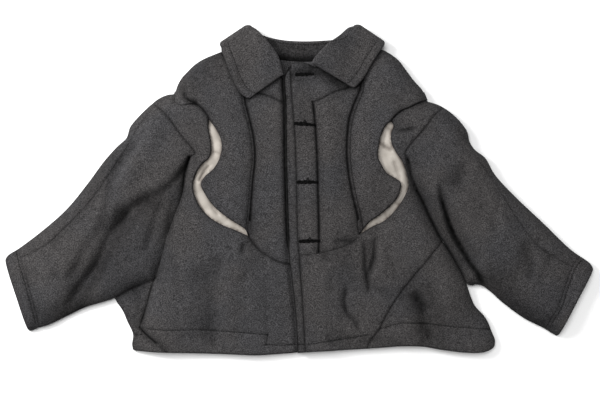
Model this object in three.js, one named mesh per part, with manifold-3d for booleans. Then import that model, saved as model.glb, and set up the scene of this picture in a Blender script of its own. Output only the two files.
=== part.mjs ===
// A cropped wool blouson jacket, laid flat on its back and spread out, front up.
//
// Millimetres. X runs from the wearer's right to the wearer's left, Y from the hem to the collar,
// and Z up from the surface that the jacket lies on. "right" and "left" are the wearer's sides.
//
// The front of body and sleeves is one soft height over the plan, laidHeight(). Each cut piece is a
// stretch of cloth wall on that height, trimmed by its own outline, so that pieces meet at seams
// with a small gap. Folded edges roll over and tuck under, where the flat back joins them.

import * as THREE from "three";
import { mergeVertices } from "three/addons/utils/BufferGeometryUtils.js";
import Module from "manifold-3d";

const wasm = await Module();
wasm.setup();

// ---- Driving dimensions ----------------------------------------------------------------------

const WOOL = 3; // wall of the melton cloth
const LINING_WALL = 1.5; // wall of the pale lining
const COLLAR_WALL = 4; // two plies of the collar, pressed together
const COLLAR_CLEARANCE = 2.2; // the soft fall stands this far off the fronts
const SEAM_GAP = 0.3; // between the pieces that meet at a seam
const EDGE_RADIUS = 8; // roll of the cloth at a folded edge
const TUCK = 10; // how far a rolled edge runs on under itself
const BACK_GAP = 2; // from there to the edge of the flat back
const ROLL_SPAN = 44; // how far in from an edge the laid cloth reaches its full height
const CREASE_GROWTH = 120; // the groove between sleeve and body opens to its full span in this
const WING_LIFT = 3.4; // the chest wings lie on top of the shoulder pieces
const PLACKET_LIFT = 6.8; // the left front laps over the right front and its buttons
const PLACKET_FLAT = 52; // the left front keeps that lift up to this X
const PLACKET_FALL = 44; // and sinks to the body's level over this width
const UNDERLAP = 44; // the right front runs on under the placket to this X
const GORE_HEIGHT = 13; // the side gore lies low, under the folded edge of the right front
const FOLD_SPAN = 30; // how far in from that folded edge the front reaches its full height
const COLLAR_REST = 6; // the back of the jacket lies this high where the collar is folded under it
const COLLAR_SLOPE = { start: 48, end: 12 }; // and comes down to the surface outside the fall
const COLLAR_ROLL = 5.2; // outer radius of the collar's roll line
const LOWEST = 14; // least height of a fold's floor, away from the edges
const LINING_MARGIN = 8; // the lining runs on this far behind the edges of its slit
const BUTTON_RADIUS = 10;
const BUTTON_THICKNESS = 2.6;
const CENTRE = { x: -0.5, y: -2.5 }; // middle of the laid jacket in the plan of the tables below

// ---- Tables ----------------------------------------------------------------------------------

// One object for each row, with the named columns.
function table(columns, ...rows) {
  const names = columns.split(" ");
  return rows.map((row) => Object.fromEntries(names.map((name, i) => [name, row[i]])));
}

// Height of the laid cloth over the plan, the same on both sides.
const HEIGHTS = table(
  "out y height",
  [0, 240, 26],
  [0, 100, 31],
  [0, -120, 30],
  [0, -320, 17],
  [110, 90, 34],
  [130, -110, 33],
  [120, 270, 25],
  [150, -320, 19],
  [200, 210, 34],
  [240, 110, 40],
  [250, -210, 31],
  [330, -310, 20],
  [310, 10, 44],
  [390, -100, 42],
  [460, -175, 34],
  [560, -210, 24],
);

// Folded outer edges of the laid jacket, as its outline shows them.
const SHOULDER_RIGHT = table(
  "x y",
  [-123, 286],
  [-155, 273],
  [-193, 257],
  [-211, 245],
  [-225, 231],
  [-235, 220],
  [-243, 206],
  [-250, 189],
);
const CAP_RIGHT = table("x y", [-250, 189], [-262, 187], [-279, 180], [-294, 169]);
const SLEEVE_OUTER_RIGHT = table(
  "x y",
  [-294, 169],
  [-322, 142],
  [-338, 122],
  [-345, 101],
  [-363, 84],
  [-389, 55],
  [-423, 9],
  [-465, -42],
  [-515, -86],
  [-559, -119],
  [-582, -134],
  [-587, -142],
);
const CREASE_RIGHT = table(
  "x y",
  [-218, 61],
  [-225, 41],
  [-229, 17],
  [-232, -7],
  [-239, -32],
  [-250, -59],
  [-263, -96],
  [-276, -144],
  [-289, -181],
);
const SLEEVE_INNER_RIGHT = table(
  "x y",
  [-289, -181],
  [-331, -197],
  [-373, -220],
  [-427, -237],
  [-465, -255],
  [-503, -273],
  [-530, -280],
  [-541, -283],
);
const SIDE_RIGHT = table(
  "x y",
  [-369, -219],
  [-364, -227],
  [-352, -245],
  [-343, -266],
  [-332, -291],
  [-334, -312],
  [-331, -325],
  [-330, -345],
);
const SHOULDER_LEFT = table(
  "x y",
  [125, 288],
  [167, 276],
  [196, 257],
  [214, 234],
  [229, 214],
  [245, 196],
  [251, 181],
  [254, 174],
);
const CAP_LEFT = table("x y", [254, 174], [264, 171], [276, 167], [288, 161]);
const SLEEVE_OUTER_LEFT = table(
  "x y",
  [288, 161],
  [308, 146],
  [324, 129],
  [335, 112],
  [339, 94],
  [349, 78],
  [370, 61],
  [390, 27],
  [433, -19],
  [488, -71],
  [541, -122],
  [580, -150],
  [586, -160],
);
const CREASE_LEFT = table(
  "x y",
  [213, 59],
  [216, 50],
  [222, 24],
  [230, 2],
  [244, -24],
  [260, -59],
  [278, -94],
  [294, -118],
  [310, -144],
  [326, -174],
  [333, -189],
);
const SLEEVE_INNER_LEFT = table(
  "x y",
  [333, -189],
  [362, -193],
  [382, -207],
  [403, -226],
  [448, -259],
  [484, -277],
  [505, -289],
  [516, -293],
);
const SIDE_LEFT = table(
  "x y",
  [333, -189],
  [340, -211],
  [350, -234],
  [368, -254],
  [376, -267],
  [384, -287],
  [390, -303],
  [389, -314],
  [385, -325],
  [383, -345],
);

// Free edge of the hem, from the wearer's right to the left.
const HEM = table(
  "x y",
  [-350, -321],
  [-330, -323],
  [-290, -326],
  [-206, -328],
  [-119, -331],
  [-86, -332],
  [-2, -327],
  [65, -323],
  [164, -317],
  [205, -314],
  [246, -315],
  [282, -321],
  [333, -327],
  [368, -326],
  [383, -320],
  [410, -300],
);

// Neck edge of the two fronts, hidden by the collar but for the top of the placket.
const NECK_RIGHT = table(
  "x y",
  [60, 222],
  [-26, 222],
  [-38, 219],
  [-53, 246],
  [-71, 262],
  [-89, 273],
  [-105, 281],
  [-123, 286],
);
const NECK_LEFT = table(
  "x y",
  [-23, 237],
  [-20, 245],
  [-10, 250],
  [5, 250],
  [20, 246],
  [31, 241],
  [43, 252],
  [60, 262],
  [81, 272],
  [101, 284],
  [125, 288],
);

// Seams and cut edges of the fronts.
const ARMHOLE_RIGHT = table(
  "x y",
  [-312, 188],
  [-295, 170],
  [-274, 155],
  [-259, 140],
  [-246, 122],
  [-233, 104],
  [-220, 89],
  [-210, 76],
  [-206, 68],
  [-218, 61],
);
const ARMHOLE_LEFT = table(
  "x y",
  [302, 182],
  [287, 161],
  [265, 142],
  [255, 127],
  [240, 109],
  [224, 91],
  [214, 78],
  [209, 68],
  [213, 59],
);
const WING_EDGE_RIGHT = table(
  "x y",
  [-262, 200],
  [-249, 187],
  [-246, 171],
  [-232, 164],
  [-216, 166],
  [-203, 164],
  [-192, 155],
  [-183, 144],
  [-179, 136],
);
const WING_EDGE_LEFT = table(
  "x y",
  [266, 181],
  [252, 174],
  [240, 170],
  [219, 160],
  [201, 152],
  [189, 142],
  [181, 133],
);
const SLIT_OUTER_RIGHT = table(
  "x y",
  [-179, 136],
  [-180, 119],
  [-175, 91],
  [-177, 63],
  [-195, 45],
  [-208, 20],
  [-210, -3],
  [-200, -31],
  [-182, -54],
  [-154, -72],
  [-129, -82],
  [-102, -94],
);
const SLIT_INNER_RIGHT = table(
  "x y",
  [-179, 136],
  [-162, 112],
  [-154, 89],
  [-157, 63],
  [-169, 40],
  [-187, 23],
  [-195, 9],
  [-187, -11],
  [-169, -36],
  [-144, -57],
  [-121, -72],
  [-108, -81],
  [-102, -94],
);
const SLIT_OUTER_LEFT = table(
  "x y",
  [181, 133],
  [186, 124],
  [181, 109],
  [182, 89],
  [191, 71],
  [204, 51],
  [213, 27],
  [216, 7],
  [209, -13],
  [193, -39],
  [168, -64],
  [145, -75],
  [120, -90],
);
const SLIT_INNER_LEFT = table(
  "x y",
  [181, 133],
  [171, 125],
  [161, 104],
  [156, 79],
  [155, 63],
  [163, 45],
  [173, 30],
  [189, 20],
  [200, 11],
  [200, 0],
  [193, -19],
  [178, -36],
  [158, -53],
  [137, -68],
  [120, -90],
);
const PRINCESS_RIGHT = table(
  "x y",
  [-95, 295],
  [-95, 277],
  [-107, 227],
  [-108, 177],
  [-101, 147],
  [-93, 114],
  [-88, 78],
  [-88, 53],
  [-92, 15],
  [-95, -24],
  [-98, -62],
  [-102, -94],
);
const PRINCESS_LEFT = table(
  "x y",
  [97, 300],
  [101, 277],
  [117, 227],
  [121, 200],
  [107, 163],
  [99, 137],
  [95, 104],
  [94, 78],
  [95, 53],
  [98, 27],
  [103, -1],
  [109, -29],
  [116, -58],
  [120, -90],
);
const YOKE_RIGHT = table(
  "x y",
  [60, 160],
  [-27, 169],
  [-56, 181],
  [-71, 186],
  [-108, 196],
);
const YOKE_LEFT = table("x y", [27, 170], [46, 178], [66, 189], [87, 196], [121, 205]);
const WAIST_RIGHT = table(
  "x y",
  [-102, -94],
  [-83, -119],
  [-63, -134],
  [-45, -144],
  [-23, -150],
  [60, -154],
);
const WAIST_LEFT = table(
  "x y",
  [120, -90],
  [109, -104],
  [85, -116],
  [61, -124],
  [38, -129],
  [0, -133],
);
const PLACKET_SEAM = table(
  "x y",
  [27, 170],
  [31, 131],
  [35, 69],
  [37, -11],
  [39, -90],
  [38, -129],
);
const BAND_SEAM = table(
  "x y",
  [-18, 262],
  [-16, 203],
  [-8, 97],
  [-5, 3],
  [-3, -91],
  [0, -133],
  [6, -216],
  [11, -305],
  [13, -345],
);
const FRONT_EDGE = table(
  "x y",
  [-23, 237],
  [-31, 222],
  [-29, 169],
  [-28, 69],
  [-26, -11],
  [-24, -77],
  [-21, -135],
  [-16, -177],
  [-10, -229],
  [-6, -279],
  [-3, -345],
);
const FRONT_FOLD = table(
  "x y",
  [-287, -172],
  [-299, -213],
  [-307, -243],
  [-315, -267],
  [-318, -277],
);
const GORE_SEAM_RIGHT = table(
  "x y",
  [-318, -277],
  [-309, -287],
  [-289, -304],
  [-271, -318],
  [-250, -345],
);
const GORE_SEAM_LEFT = table(
  "x y",
  [300, -88],
  [284, -105],
  [249, -148],
  [217, -186],
  [190, -223],
  [169, -260],
  [158, -282],
  [142, -303],
  [124, -345],
);
const HIND_ARM_RIGHT = table(
  "x y",
  [-282, 190],
  [-291, 161],
  [-319, 121],
  [-343, 79],
  [-365, 45],
  [-391, 5],
  [-426, -40],
  [-477, -90],
  [-503, -113],
  [-534, -130],
  [-560, -138],
  [-600, -146],
);
const HIND_ARM_LEFT = table(
  "x y",
  [290, 190],
  [296, 145],
  [318, 112],
  [337, 88],
  [348, 66],
  [372, 32],
  [396, -3],
  [428, -56],
  [449, -86],
  [468, -110],
  [502, -134],
  [534, -152],
  [560, -162],
  [600, -168],
);
const CUFF_SEAM_RIGHT = table(
  "x y",
  [-567, -100],
  [-559, -119],
  [-551, -147],
  [-543, -173],
  [-525, -239],
  [-519, -265],
  [-514, -300],
);
const CUFF_SEAM_LEFT = table(
  "x y",
  [568, -110],
  [557, -137],
  [543, -154],
  [529, -191],
  [513, -238],
  [502, -254],
  [480, -300],
);

// Largest troughs (negative) and ridges of the laid cloth.
const FOLDS = [
  { depth: -14, width: 20, path: table("x y", [-330, -25], [-367, -80], [-399, -147], [-452, -228], [-480, -275]) },
  { depth: -7, width: 16, path: table("x y", [-235, 20], [-262, -18], [-300, -24], [-345, -40]) },
  { depth: 4, width: 22, path: table("x y", [-300, 70], [-380, -30], [-450, -120], [-520, -190]) },
  { depth: -13, width: 16, path: table("x y", [276, 0], [298, -56], [333, -123], [368, -176]) },
  { depth: -5, width: 16, path: table("x y", [318, 66], [304, 25], [287, -18]) },
  { depth: -5, width: 16, path: table("x y", [452, -98], [443, -150], [432, -198]) },
  { depth: -8, width: 18, path: table("x y", [205, -185], [228, -225], [248, -275], [264, -335]) },
  { depth: 5, width: 24, path: table("x y", [282, -150], [295, -225], [312, -335]) },
  { depth: -5, width: 24, path: table("x y", [-190, -140], [-180, -215], [-172, -335]) },
  { depth: 4, width: 28, path: table("x y", [-250, -120], [-262, -210], [-265, -335]) },
];

// Rows of the body's cloth, from below the hem up to the neck, and its columns: those of the middle
// keep their places from row to row, and the others close up towards the folded edges.
const BODY_ROWS = [
  -345, -312, -286, -260, -238, -219, -207, -194, -181, -158, -128, -96, -62, -28, 4, 32, 54, 74,
  104, 134, 158, 175, 189, 208, 231, 253, 271, 288,
];
const MIDDLE = 170;
const MIDDLE_COLUMNS = 10;
const RISE = [0, 3, 12, 28]; // offsets of the columns that follow a folded edge
const BACK_COLUMNS = [0, 0.08, 0.17, 0.27, 0.4, 0.6, 0.73, 0.83, 0.92, 1]; // shares of the back

// Plan lines across each sleeve, from inside the armhole to past the cuff: the outer end, the
// inner end.
const SECTIONS_RIGHT = table(
  "outerX outerY innerX innerY",
  [-262, 200, -176, 92],
  [-294, 169, -204, 66],
  [-316, 149, -222, 50],
  [-338, 122, -229, 17],
  [-345, 101, -232, -7],
  [-363, 84, -241, -38],
  [-389, 55, -252, -66],
  [-406, 32, -263, -96],
  [-423, 9, -276, -144],
  [-439, -12, -289, -181],
  [-452, -27, -331, -197],
  [-465, -42, -373, -220],
  [-490, -64, -427, -237],
  [-515, -86, -465, -255],
  [-540, -105, -503, -273],
  [-559, -119, -521, -278],
  [-574, -128, -532, -281],
  [-587, -142, -541, -283],
);
const SECTIONS_LEFT = table(
  "outerX outerY innerX innerY",
  [266, 184, 180, 92],
  [288, 161, 208, 66],
  [308, 146, 218, 44],
  [324, 129, 222, 24],
  [335, 112, 230, 2],
  [339, 94, 244, -24],
  [349, 78, 260, -59],
  [370, 61, 278, -94],
  [380, 44, 294, -118],
  [390, 27, 310, -144],
  [408, 7, 326, -174],
  [420, -6, 333, -189],
  [433, -19, 362, -193],
  [455, -40, 382, -207],
  [474, -58, 403, -226],
  [515, -97, 448, -259],
  [541, -122, 484, -277],
  [586, -160, 516, -293],
);
const INSEAM_HEIGHT = 5; // the inseam, on the sleeve's inner edge
const SLEEVE_TOP_COLUMNS = 12;
const SLEEVE_UNDER_COLUMNS = 3;
const ROLL_STEPS = 3; // steps of the quarter turn at a folded edge

// The collar's roll line, where it turns over, and the free edge of its fall, from the front end to
// the shoulder.
const COLLAR_RIGHT = table(
  "rollX rollY edgeX edgeY",
  [-31, 225, -101, 176],
  [-41, 260, -119, 190],
  [-56, 283, -135, 222],
  [-71, 301, -147, 254],
  [-87, 317, -155, 273],
  [-94, 321, -155, 279],
);
const COLLAR_LEFT = table(
  "rollX rollY edgeX edgeY",
  [23, 247, 108, 197],
  [31, 260, 123, 212],
  [56, 286, 143, 245],
  [79, 303, 156, 266],
  [97, 319, 165, 279],
  [107, 322, 166, 281],
);
const COLLAR_TOP = { front: 33, side: 28, edgeDrop: 2 }; // height of the fall's face
const COLLAR_SPREAD = 9; // the stiff fall bridges hollows narrower than this
const STAND = { front: 7, side: 24 }; // depth of the stand under the fall
const FALL_COLUMNS = 5;
const ROLL_COLUMNS = 4;
const STAND_COLUMNS = 2;
const TURN_STEPS = 4;
const BACK_SECTIONS = 6;
const COLLAR_TURN = 1;
const BACK_ROLL = table(
  "x y",
  [-88, 313],
  [-71, 305],
  [-38, 297],
  [0, 294],
  [43, 295],
  [77, 299],
  [101, 314],
);
const BACK_STAND = 41; // depth of the stand across the back neck
const FALL_EDGE = table(
  "x y",
  [-155, 279],
  [-136, 262],
  [-110, 244],
  [-70, 228],
  [0, 218],
  [75, 228],
  [118, 246],
  [146, 264],
  [166, 281],
);
const BUTTONS = table("x y", [10, 226], [10, 126], [16, 13], [19, -103]);

// ---- Plan curves -----------------------------------------------------------------------------

const CURVE_STEPS = { fine: 2, plain: 1 }; // points for each row of a curve's table
const FINE_CURVES = /SLIT|WAIST|WING/;

// A smooth plan curve through a table's points.
function smooth(rows, steps = CURVE_STEPS.fine) {
  const points = rows.map((row) => new THREE.Vector3(row.x, row.y, 0));
  const curve = new THREE.CatmullRomCurve3(points, false, "centripetal");
  return curve.getPoints((rows.length - 1) * steps).map(({ x, y }) => ({ x, y }));
}

// Nearest distance from a plan point to a line, and how far along the line that is.
function nearest(line, x, y) {
  let best = { distance: Infinity, along: 0, side: 1 };
  let run = 0;
  for (let i = 1; i < line.length; i += 1) {
    const a = line[i - 1];
    const dx = line[i].x - a.x;
    const dy = line[i].y - a.y;
    const length = Math.hypot(dx, dy);
    const t = THREE.MathUtils.clamp(((x - a.x) * dx + (y - a.y) * dy) / length ** 2, 0, 1);
    const offX = x - a.x - t * dx;
    const offY = y - a.y - t * dy;
    const distance = Math.hypot(offX, offY);
    if (distance < best.distance) {
      const side = Math.sign(dx * offY - dy * offX) || 1;
      best = { distance, along: run + t * length, side };
    }
    run += length;
  }
  return { ...best, length: run };
}

// The X of an edge, given as a table from top to bottom, at a Y.
function edgeAt(rows, y) {
  const top = rows[0];
  if (y >= top.y) return top.x;
  for (let i = 1; i < rows.length; i += 1) {
    const a = rows[i - 1];
    const b = rows[i];
    if (y >= b.y) return a.x + ((b.x - a.x) * (y - a.y)) / (b.y - a.y || -1);
  }
  return rows[rows.length - 1].x;
}

// A plan outline moved in (or, with a negative distance, out) all round.
function inset(outline, distance) {
  const turn = THREE.ShapeUtils.area(outline) > 0 ? 1 : -1;
  const count = outline.length;
  return outline.map((point, i) => {
    const before = outline[(i + count - 1) % count];
    const after = outline[(i + 1) % count];
    const inLine = new THREE.Vector2(point.x - before.x, point.y - before.y).normalize();
    const outLine = new THREE.Vector2(after.x - point.x, after.y - point.y).normalize();
    const normal = new THREE.Vector2(-inLine.y - outLine.y, inLine.x + outLine.x).normalize();
    const miter = Math.max(0.35, normal.x * -inLine.y + normal.y * inLine.x);
    return {
      x: point.x + (turn * distance * normal.x) / miter,
      y: point.y + (turn * distance * normal.y) / miter,
    };
  });
}

// Where two plan lines cross, as a run along each in rows and fractions of a row.
function crossing(a, b) {
  let best = { gap: Infinity };
  for (let i = 1; i < a.length; i += 1) {
    for (let j = 1; j < b.length; j += 1) {
      const rx = a[i].x - a[i - 1].x;
      const ry = a[i].y - a[i - 1].y;
      const sx = b[j].x - b[j - 1].x;
      const sy = b[j].y - b[j - 1].y;
      const qx = b[j - 1].x - a[i - 1].x;
      const qy = b[j - 1].y - a[i - 1].y;
      const cross = rx * sy - ry * sx;
      const t = THREE.MathUtils.clamp((qx * sy - qy * sx) / (cross || 1e-9), 0, 1);
      const u = THREE.MathUtils.clamp((qx * ry - qy * rx) / (cross || 1e-9), 0, 1);
      const x = a[i - 1].x + rx * t;
      const y = a[i - 1].y + ry * t;
      const gap = Math.hypot(x - b[j - 1].x - sx * u, y - b[j - 1].y - sy * u);
      if (gap < best.gap - 1e-6) best = { gap, onA: i - 1 + t, onB: j - 1 + u, x, y };
    }
  }
  return best;
}

// The outline that a round of plan lines encloses, each from where it crosses the one before to
// where it crosses the next.
function outlineOf(...lines) {
  const count = lines.length;
  const corners = lines.map((line, i) => crossing(line, lines[(i + 1) % count]));
  const points = lines.flatMap((line, i) => {
    const before = corners[(i + count - 1) % count];
    const from = before.onB;
    const to = corners[i].onA;
    const inside = line.filter((_, k) => k > Math.min(from, to) && k < Math.max(from, to));
    return [{ x: before.x, y: before.y }, ...(from < to ? inside : inside.reverse())];
  });
  return points.filter((point, i) => {
    const before = points[(i + points.length - 1) % points.length];
    return Math.hypot(point.x - before.x, point.y - before.y) > 0.5;
  });
}

// A straight or broken plan line through pairs of numbers.
const straight = (...pairs) => pairs.map(([x, y]) => ({ x, y }));


// ---- The laid cloth --------------------------------------------------------------------------

// Quarter of an ellipse: 0 at an edge, upright there, and 1 from a full span away.
const quarterRound = (share) => Math.sqrt(1 - (1 - THREE.MathUtils.clamp(share, 0, 1)) ** 2);

const EDGES = [
  SHOULDER_RIGHT,
  CAP_RIGHT,
  SLEEVE_OUTER_RIGHT,
  SLEEVE_INNER_RIGHT,
  SIDE_RIGHT,
  SHOULDER_LEFT,
  CAP_LEFT,
  SLEEVE_OUTER_LEFT,
  SLEEVE_INNER_LEFT,
  SIDE_LEFT,
].map((line) => ({ line, growth: 0 }));
for (const line of [CREASE_RIGHT, CREASE_LEFT]) EDGES.push({ line, growth: CREASE_GROWTH });
const FOLD_LINES = FOLDS.map((fold) => ({ ...fold, line: smooth(fold.path) }));
const FRONT_FOLD_LINE = smooth([...FRONT_FOLD, ...GORE_SEAM_RIGHT.slice(1, 4)]);
const SLEEVE_LINE = [...CREASE_RIGHT, ...SLEEVE_INNER_RIGHT.slice(1)];
const FALL_LINE = smooth(FALL_EDGE);
const BACK_ROLL_LINE = smooth(BACK_ROLL);
const SHOULDER_LINES = { right: smooth(SHOULDER_RIGHT), left: smooth(SHOULDER_LEFT) };

// How much of its full height the cloth has here, from 0 on a folded edge to 1 well inside.
function fullness(x, y) {
  let share = 1;
  for (const { line, growth } of EDGES) {
    const { distance, along } = nearest(line, x, y);
    const span = growth ? ROLL_SPAN * Math.min(1, 0.25 + along / growth) : ROLL_SPAN;
    share = Math.min(share, distance / span);
  }
  return quarterRound(share);
}

// Full height by the distances to the rows of HEIGHTS.
function plainHeight(x, y) {
  let sum = 0;
  let weights = 0;
  for (const row of HEIGHTS) {
    const weight = 1 / ((Math.abs(x) - row.out) ** 2 + (y - row.y) ** 2 + 900) ** 1.5;
    sum += weight * row.height;
    weights += weight;
  }
  return sum / weights;
}

// Sum of the folds here.
function foldHeight(x, y) {
  let sum = 0;
  for (const { depth, width, line } of FOLD_LINES) {
    const { distance, along, length } = nearest(line, x, y);
    const ends = Math.min(1, along / 40, (length - along) / 40);
    const taper = THREE.MathUtils.smoothstep(Math.max(ends, 0), 0, 1);
    sum += depth * taper * Math.exp(-((distance / width) ** 2));
  }
  return sum;
}

// 1 on the front's side of its folded edge over the right gore, 0 on the gore's.
function frontFold(x, y) {
  if (x > -200 || y > -150 || nearest(SLEEVE_LINE, x, y).side < 0) return 1;
  const { distance, side, along, length } = nearest(FRONT_FOLD_LINE, x, y);
  const sharp = THREE.MathUtils.clamp(Math.min((length - along) / 60, along / 30), 0, 1);
  const front = side > 0 ? quarterRound(distance / FOLD_SPAN) : 0;
  return 1 - sharp * (1 - front);
}

// Height of the top of the laid cloth, without the lift of a piece that laps over another.
function laidHeight(x, y) {
  const fold = frontFold(x, y);
  const full = Math.max(LOWEST, plainHeight(x, y) + foldHeight(x, y));
  const top = GORE_HEIGHT + (full - GORE_HEIGHT) * fold;
  return EDGE_RADIUS + (top - EDGE_RADIUS) * fullness(x, y);
}

// Height of the underside of the laid jacket, which lies on its own collar at the neck.
function restHeight(x, y) {
  const { distance, side } = nearest(FALL_LINE, x, y);
  const inside = side > 0 ? distance : -distance;
  return COLLAR_REST * THREE.MathUtils.smoothstep(inside, -COLLAR_SLOPE.start, -COLLAR_SLOPE.end);
}

const mix = (a, b, share) => a + (b - a) * share;

function pointAlong(line, share) {
  const index = share * (line.length - 1);
  const before = Math.min(Math.floor(index), line.length - 2);
  return {
    x: mix(line[before].x, line[before + 1].x, index - before),
    y: mix(line[before].y, line[before + 1].y, index - before),
  };
}

// The plan line of the collar's section across the back neck, from the roll line to the fall's edge.
function backLine(share) {
  const roll = pointAlong(BACK_ROLL_LINE, share);
  const edge = pointAlong(FALL_LINE, share);
  const length = Math.hypot(edge.x - roll.x, edge.y - roll.y);
  const fromSide = Math.min(1, 4 * Math.min(share, 1 - share));
  return {
    roll,
    length,
    ux: (edge.x - roll.x) / length,
    uy: (edge.y - roll.y) / length,
    stand: mix(STAND.side, BACK_STAND, fromSide),
  };
}

const BACK_NECK_LINE = [];
for (let i = BACK_SECTIONS; i >= 0; i -= 1) {
  const { roll, ux, uy, stand } = backLine(i / BACK_SECTIONS);
  const s = stand + SEAM_GAP;
  BACK_NECK_LINE.push({ x: roll.x + ux * s, y: roll.y + uy * s });
}

const PRINCESS_LINES = { right: smooth(PRINCESS_RIGHT), left: smooth(PRINCESS_LEFT) };

// Lift of a chest wing over the shoulder piece: none at the princess seam or at a folded edge.
function wingLift(x, y) {
  const line = x < 0 ? PRINCESS_LINES.right : PRINCESS_LINES.left;
  const fromSeam = THREE.MathUtils.smoothstep(nearest(line, x, y).distance, 4, 40);
  return WING_LIFT * fromSeam * THREE.MathUtils.smoothstep(fullness(x, y), 0.2, 0.75);
}

// Lift of the left front over the right one.
const placketLift = (x) =>
  PLACKET_LIFT * (1 - THREE.MathUtils.smoothstep(x, PLACKET_FLAT, PLACKET_FLAT + PLACKET_FALL));

const noLift = () => 0;
const leftLift = (x) => placketLift(x);
const rightWing = (x, y) => wingLift(x, y);
const leftWing = (x, y) => wingLift(x, y) + placketLift(x);

// ---- Walls and solids ------------------------------------------------------------------------

const pointIn = (grid, row, column) => grid[row][(column + grid[row].length) % grid[row].length];

// Outward normals of a grid of points, whose rows and columns turn left-handed about them.
function normalsOf(grid, loop, turn) {
  const rows = grid.length;
  const columns = grid[0].length;
  return grid.map((line, j) =>
    line.map((_, i) => {
      const low = loop ? i - 1 : Math.max(i - 1, 0);
      const high = loop ? i + 1 : Math.min(i + 1, columns - 1);
      const across = pointIn(grid, j, high).clone().sub(pointIn(grid, j, low));
      const along = grid[Math.min(j + 1, rows - 1)][i].clone().sub(grid[Math.max(j - 1, 0)][i]);
      return across.cross(along).normalize().multiplyScalar(turn);
    }),
  );
}

// A closed wall between a grid of outer points and the same points moved in by its thickness.
function wall(grid, thickness, { loop = false, turn = 1, depth = 0 } = {}) {
  const normals = normalsOf(grid, loop, turn);
  const rows = grid.length;
  const columns = grid[0].length;
  const count = rows * columns;
  const positions = [];
  for (const into of [depth, depth + thickness]) {
    grid.forEach((line, j) =>
      line.forEach((point, i) => {
        const moved = point.clone().addScaledVector(normals[j][i], -into);
        positions.push(moved.x, moved.y, moved.z);
      }),
    );
  }
  const at = (j, i, inner = 0) => inner * count + j * columns + (i % columns);
  const triangles = [];
  const quad = (a, b, c, d) => {
    if (turn > 0) triangles.push(a, b, c, a, c, d);
    else triangles.push(a, c, b, a, d, c);
  };
  const lastColumn = loop ? columns : columns - 1;
  for (let j = 0; j < rows - 1; j += 1) {
    for (let i = 0; i < lastColumn; i += 1) {
      quad(at(j, i), at(j, i + 1), at(j + 1, i + 1), at(j + 1, i));
      quad(at(j, i, 1), at(j + 1, i, 1), at(j + 1, i + 1, 1), at(j, i + 1, 1));
    }
  }
  const rim = (j, i, k, l) => quad(at(k, l), at(j, i), at(j, i, 1), at(k, l, 1));
  for (let i = 0; i < lastColumn; i += 1) {
    rim(0, i, 0, i + 1);
    rim(rows - 1, i + 1, rows - 1, i);
  }
  if (!loop) {
    for (let j = 0; j < rows - 1; j += 1) {
      rim(j, columns - 1, j + 1, columns - 1);
      rim(j + 1, 0, j, 0);
    }
  }
  return solidFrom(new Float32Array(positions), new Uint32Array(triangles));
}

function solidFrom(vertProperties, triVerts) {
  return new wasm.Manifold(new wasm.Mesh({ numProp: 3, vertProperties, triVerts }));
}

// A three.js geometry as a solid.
function solidOf(geometry) {
  geometry.deleteAttribute("normal");
  geometry.deleteAttribute("uv");
  const merged = mergeVertices(geometry, 1e-4);
  return solidFrom(merged.attributes.position.array, new Uint32Array(merged.index.array));
}

// An upright prism over a plan outline.
function prism(outline, low = -60, high = 160) {
  const shape = new THREE.Shape(outline.map(({ x, y }) => new THREE.Vector2(x, y)));
  const geometry = new THREE.ExtrudeGeometry(shape, { depth: high - low, bevelEnabled: false });
  return solidOf(geometry.translate(0, 0, low));
}

// The one body of a cut solid, without the slivers that a cut leaves.
function mainBody(solid) {
  const bodies = solid.decompose().sort((a, b) => b.volume() - a.volume());
  if (bodies.length > 1 && bodies[1].volume() > 0.02 * bodies[0].volume()) {
    throw new Error("a cut piece has come apart");
  }
  return bodies[0];
}

// Cloth inside an outline, half a seam gap in from it.
const trimmed = (cloth, outline) => mainBody(cloth.intersect(prism(inset(outline, SEAM_GAP / 2))));

// ---- The body's cloth ------------------------------------------------------------------------

// Folded edges of the body as X at each Y. Beside the armhole the cloth runs on past the seam.
const BODY_EDGE_RIGHT = [
  ...SHOULDER_RIGHT,
  ...CAP_RIGHT.slice(1),
  ...table("x y", [-304, 150], [-304, 120], [-290, 92], [-258, 72]),
  ...CREASE_RIGHT,
  ...table("x y", [-331, -197], [-369, -219]),
  ...SIDE_RIGHT.slice(1),
];
const BODY_EDGE_LEFT = [
  ...SHOULDER_LEFT,
  ...CAP_LEFT.slice(1),
  ...table("x y", [300, 150], [302, 120], [292, 92], [262, 72]),
  ...CREASE_LEFT,
  ...SIDE_LEFT.slice(1),
];

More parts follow.
